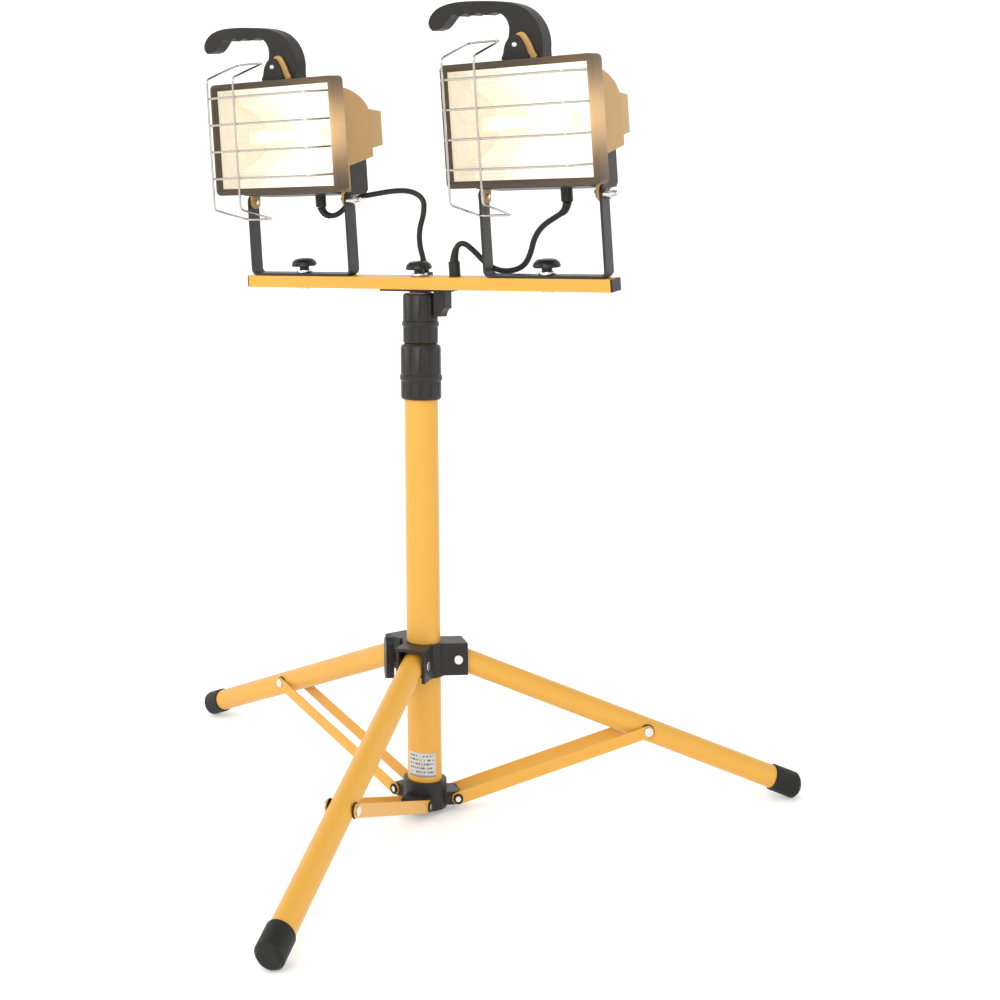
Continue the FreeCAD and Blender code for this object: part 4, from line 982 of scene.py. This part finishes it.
TONGUE_OUTLINE = [
    (-0.0150, 0.1482),
    (-0.0145, 0.157),
    (-0.0095, 0.169),
    (-0.0030, 0.1765),
    (0.0045, 0.1765),
    (0.0100, 0.169),
    (0.0150, 0.157),
    (0.0160, 0.1482),
]
EAR_OUTLINE = [
    (-0.0195, 0.1482),
    (-0.0190, 0.156),
    (-0.0160, 0.166),
    (-0.0095, 0.1735),
    (-0.0010, 0.1740),
    (0.0050, 0.166),
    (0.0085, 0.156),
    (0.0095, 0.1482),
]
grip_black = moulded("grip_black", (0.0121, 0.0105, 0.0083), (0.0220, 0.0187, 0.0149), 0.46, 900, 0.5)
for side in ("left", "right"):
    body = f"lamp_{side}"
    finished(f"carry_handle_{side}", body, grip_black, edge=0.0040, steps=4, smooth=45)
    points, faces = rounded_slab(smooth_outline(TONGUE_OUTLINE), -0.0302, -0.0267, 0.0008, 4)
    turned_outward(
        new_piece(
            f"handle_tongue_{side}",
            on_lamp(side, points),
            faces,
            housing_yellow,
            body,
        )
    )
    points, faces = rounded_slab(smooth_outline(EAR_OUTLINE), -0.0346, -0.0304, 0.0012, 5)
    turned_outward(
        new_piece(
            f"handle_ear_{side}",
            on_lamp(side, points),
            faces,
            grip_black,
            body,
        )
    )
    turned_piece(
        f"handle_rivet_{side}",
        [(0.0, 0.0), (0.0030, 0.0), (0.0030, 0.0006), (0.0024, 0.0013), (0.0012, 0.0017), (0.0, 0.0018)],
        on_lamp(side, (-0.0045, -0.0345, 0.1640)),
        on_lamp(side, (0, -1, 0)) - on_lamp(side, (0, 0, 0)),
        zinc,
        body,
    )

# ---------------------------------------------------------------- mast label
# A silvered foil label wrapped on the mast's foot, printed with plain grey
# rules that say nothing.
low, high = (np.array(corner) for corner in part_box("mast_label"))
LABEL_RADIUS = 0.0193
label_turn = np.radians(np.linspace(-120, -20, 41))
label_height = np.linspace(low[2], high[2], 9)
outer = np.stack(
    np.broadcast_arrays(
        LABEL_RADIUS * np.cos(label_turn)[None, :],
        LABEL_RADIUS * np.sin(label_turn)[None, :],
        label_height[:, None],
    ),
    2,
)
label_uv = np.stack(np.meshgrid(np.linspace(0, 1, 41), np.linspace(0, 1, 9)), 2).reshape(-1, 2)
foil, foil_tree, foil_shader = node_tree("label_foil")
foil_uv = add(foil_tree, "ShaderNodeUVMap", uv_map="surface")
foil_split = add(foil_tree, "ShaderNodeSeparateXYZ", {"Vector": foil_uv.outputs["UV"]})
across, up = foil_split.outputs["X"], foil_split.outputs["Y"]


def sum_of(tree, kind, first, second=None, third=None):
    """One arithmetic node."""
    made = tree.nodes.new("ShaderNodeMath")
    made.operation = kind
    for socket, value in zip(made.inputs, (first, second, third)):
        if isinstance(value, bpy.types.NodeSocket):
            tree.links.new(value, socket)
        elif value is not None:
            socket.default_value = value
    return made.outputs[0]


LABEL_ROWS = 6.0
RULE_SHARE = 0.42
row_place = sum_of(foil_tree, "MULTIPLY", up, LABEL_ROWS)
rule = sum_of(foil_tree, "LESS_THAN", sum_of(foil_tree, "FRACT", row_place), RULE_SHARE)
row = sum_of(foil_tree, "FLOOR", row_place)
words_place = foil_tree.nodes.new("ShaderNodeCombineXYZ")
foil_tree.links.new(sum_of(foil_tree, "MULTIPLY", across, 26.0), words_place.inputs["X"])
foil_tree.links.new(sum_of(foil_tree, "MULTIPLY", row, 3.7), words_place.inputs["Y"])
words = add(
    foil_tree,
    "ShaderNodeTexNoise",
    {"Vector": words_place.outputs["Vector"], "Scale": 1.0, "Detail": 0.0},
)
printed = sum_of(foil_tree, "GREATER_THAN", words.outputs["Fac"], 0.47)
inside_x = sum_of(foil_tree, "COMPARE", across, 0.5, 0.43)
inside_z = sum_of(foil_tree, "COMPARE", up, 0.5, 0.40)
ink = sum_of(
    foil_tree,
    "MULTIPLY",
    sum_of(foil_tree, "MULTIPLY", rule, printed),
    sum_of(foil_tree, "MULTIPLY", inside_x, inside_z),
)
foil_tree.links.new(
    mixed(foil_tree, ink, (0.55, 0.54, 0.52, 1), (0.12, 0.12, 0.12, 1)),
    foil_shader.inputs["Base Color"],
)
foil_shader.inputs["Metallic"].default_value = 0.35
foil_shader.inputs["Roughness"].default_value = 0.38
label = new_piece("rating_label", outer, grid_faces(9, 41), foil, "mast", uv=label_uv)
film = label.modifiers.new("film", "SOLIDIFY")
film.thickness = 0.00025
film.offset = -1.0
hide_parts("mast_label")

# --------------------------------------------- spacers, sleeves and washers
# Small moulded and turned parts: the spacers between legs and braces, black
# cups under the hub's screws, bright nuts in the knobs, and lead sleeves.
SPACER_PROFILE = [
    (0.0027, 0.0127),
    (0.0072, 0.0127),
    (0.0078, 0.0131),
    (0.0078, 0.0137),
    (0.0072, 0.0141),
    (0.0027, 0.0141),
]
SCREW_CUP_PROFILE = [
    (0.0030, 0.0163),
    (0.0056, 0.0163),
    (0.0056, 0.0174),
    (0.0050, 0.0182),
    (0.0036, 0.0184),
    (0.0030, 0.0179),
]
KNOB_NUT_PROFILE = [
    (0.0077, 0.0001),
    (0.0090, 0.0001),
    (0.0093, 0.0005),
    (0.0093, 0.0030),
    (0.0090, 0.0034),
    (0.0066, 0.0034),
]
HUB_SCREW_REACH, HUB_SCREW_HEIGHT = 0.033933, 0.015
spacer_black = moulded("spacer_black", (0.0077, 0.0072, 0.0066), (0.0143, 0.0138, 0.0127), 0.42, 1500, 0.2)
for leg in ("front", "right", "left"):
    fold = joint_of[f"brace_{leg}_fold"]
    centre, axis = np.array(fold["pos_m"]), np.array(fold["axis"])
    for sign, label_side in ((1, "a"), (-1, "b")):
        turned_piece(
            f"brace_spacer_{leg}_{label_side}",
            SPACER_PROFILE,
            centre,
            sign * axis,
            spacer_black,
            f"brace_{leg}",
            ring=True,
        )
        outward = np.cross(np.array([0.0, 0.0, 1.0]), axis)
        outward *= np.sign(outward[:2] @ centre[:2])
        hub_end = HUB_SCREW_REACH * outward + np.array([0, 0, HUB_SCREW_HEIGHT])
        turned_piece(
            f"hub_screw_cup_{leg}_{label_side}",
            SCREW_CUP_PROFILE,
            hub_end,
            sign * axis,
            spacer_black,
            f"brace_{leg}",
            ring=True,
        )
for knob in ("centre_knob", "yoke_knob_left", "yoke_knob_right"):
    turn_joint = joint_of[f"{knob}_turn"]
    turned_piece(
        f"{knob}_nut",
        KNOB_NUT_PROFILE,
        turn_joint["pos_m"],
        bar_up,
        zinc,
        knob,
        sides=24,
        ring=True,
    )
for side in ("left", "right"):
    for part, body, base, end in (
        ("lamp_lead", f"lamp_{side}", 0, 0.0165),
        ("bar_lead", "crossbar", -1, 0.0145),
    ):
        line = spline_line(f"{part}_{side}_sleeve_line", on_bar(LEAD_POINTS[f"{part}_{side}"]))
        if base:
            line = line[::-1]
        run = np.concatenate([[0], np.cumsum(np.linalg.norm(np.diff(line, axis=0), axis=1))])
        at = np.linspace(0, end, 25)
        core = np.stack([np.interp(at, run, line[:, k]) for k in range(3)], 1)
        wide = 0.0052 - 0.0014 * at / end - 0.0003 * (np.sin(at / end * 5 * 2 * np.pi) > 0)
        tube_piece(f"{part}_sleeve_{side}", core, wide, spacer_black, body, sides=24)
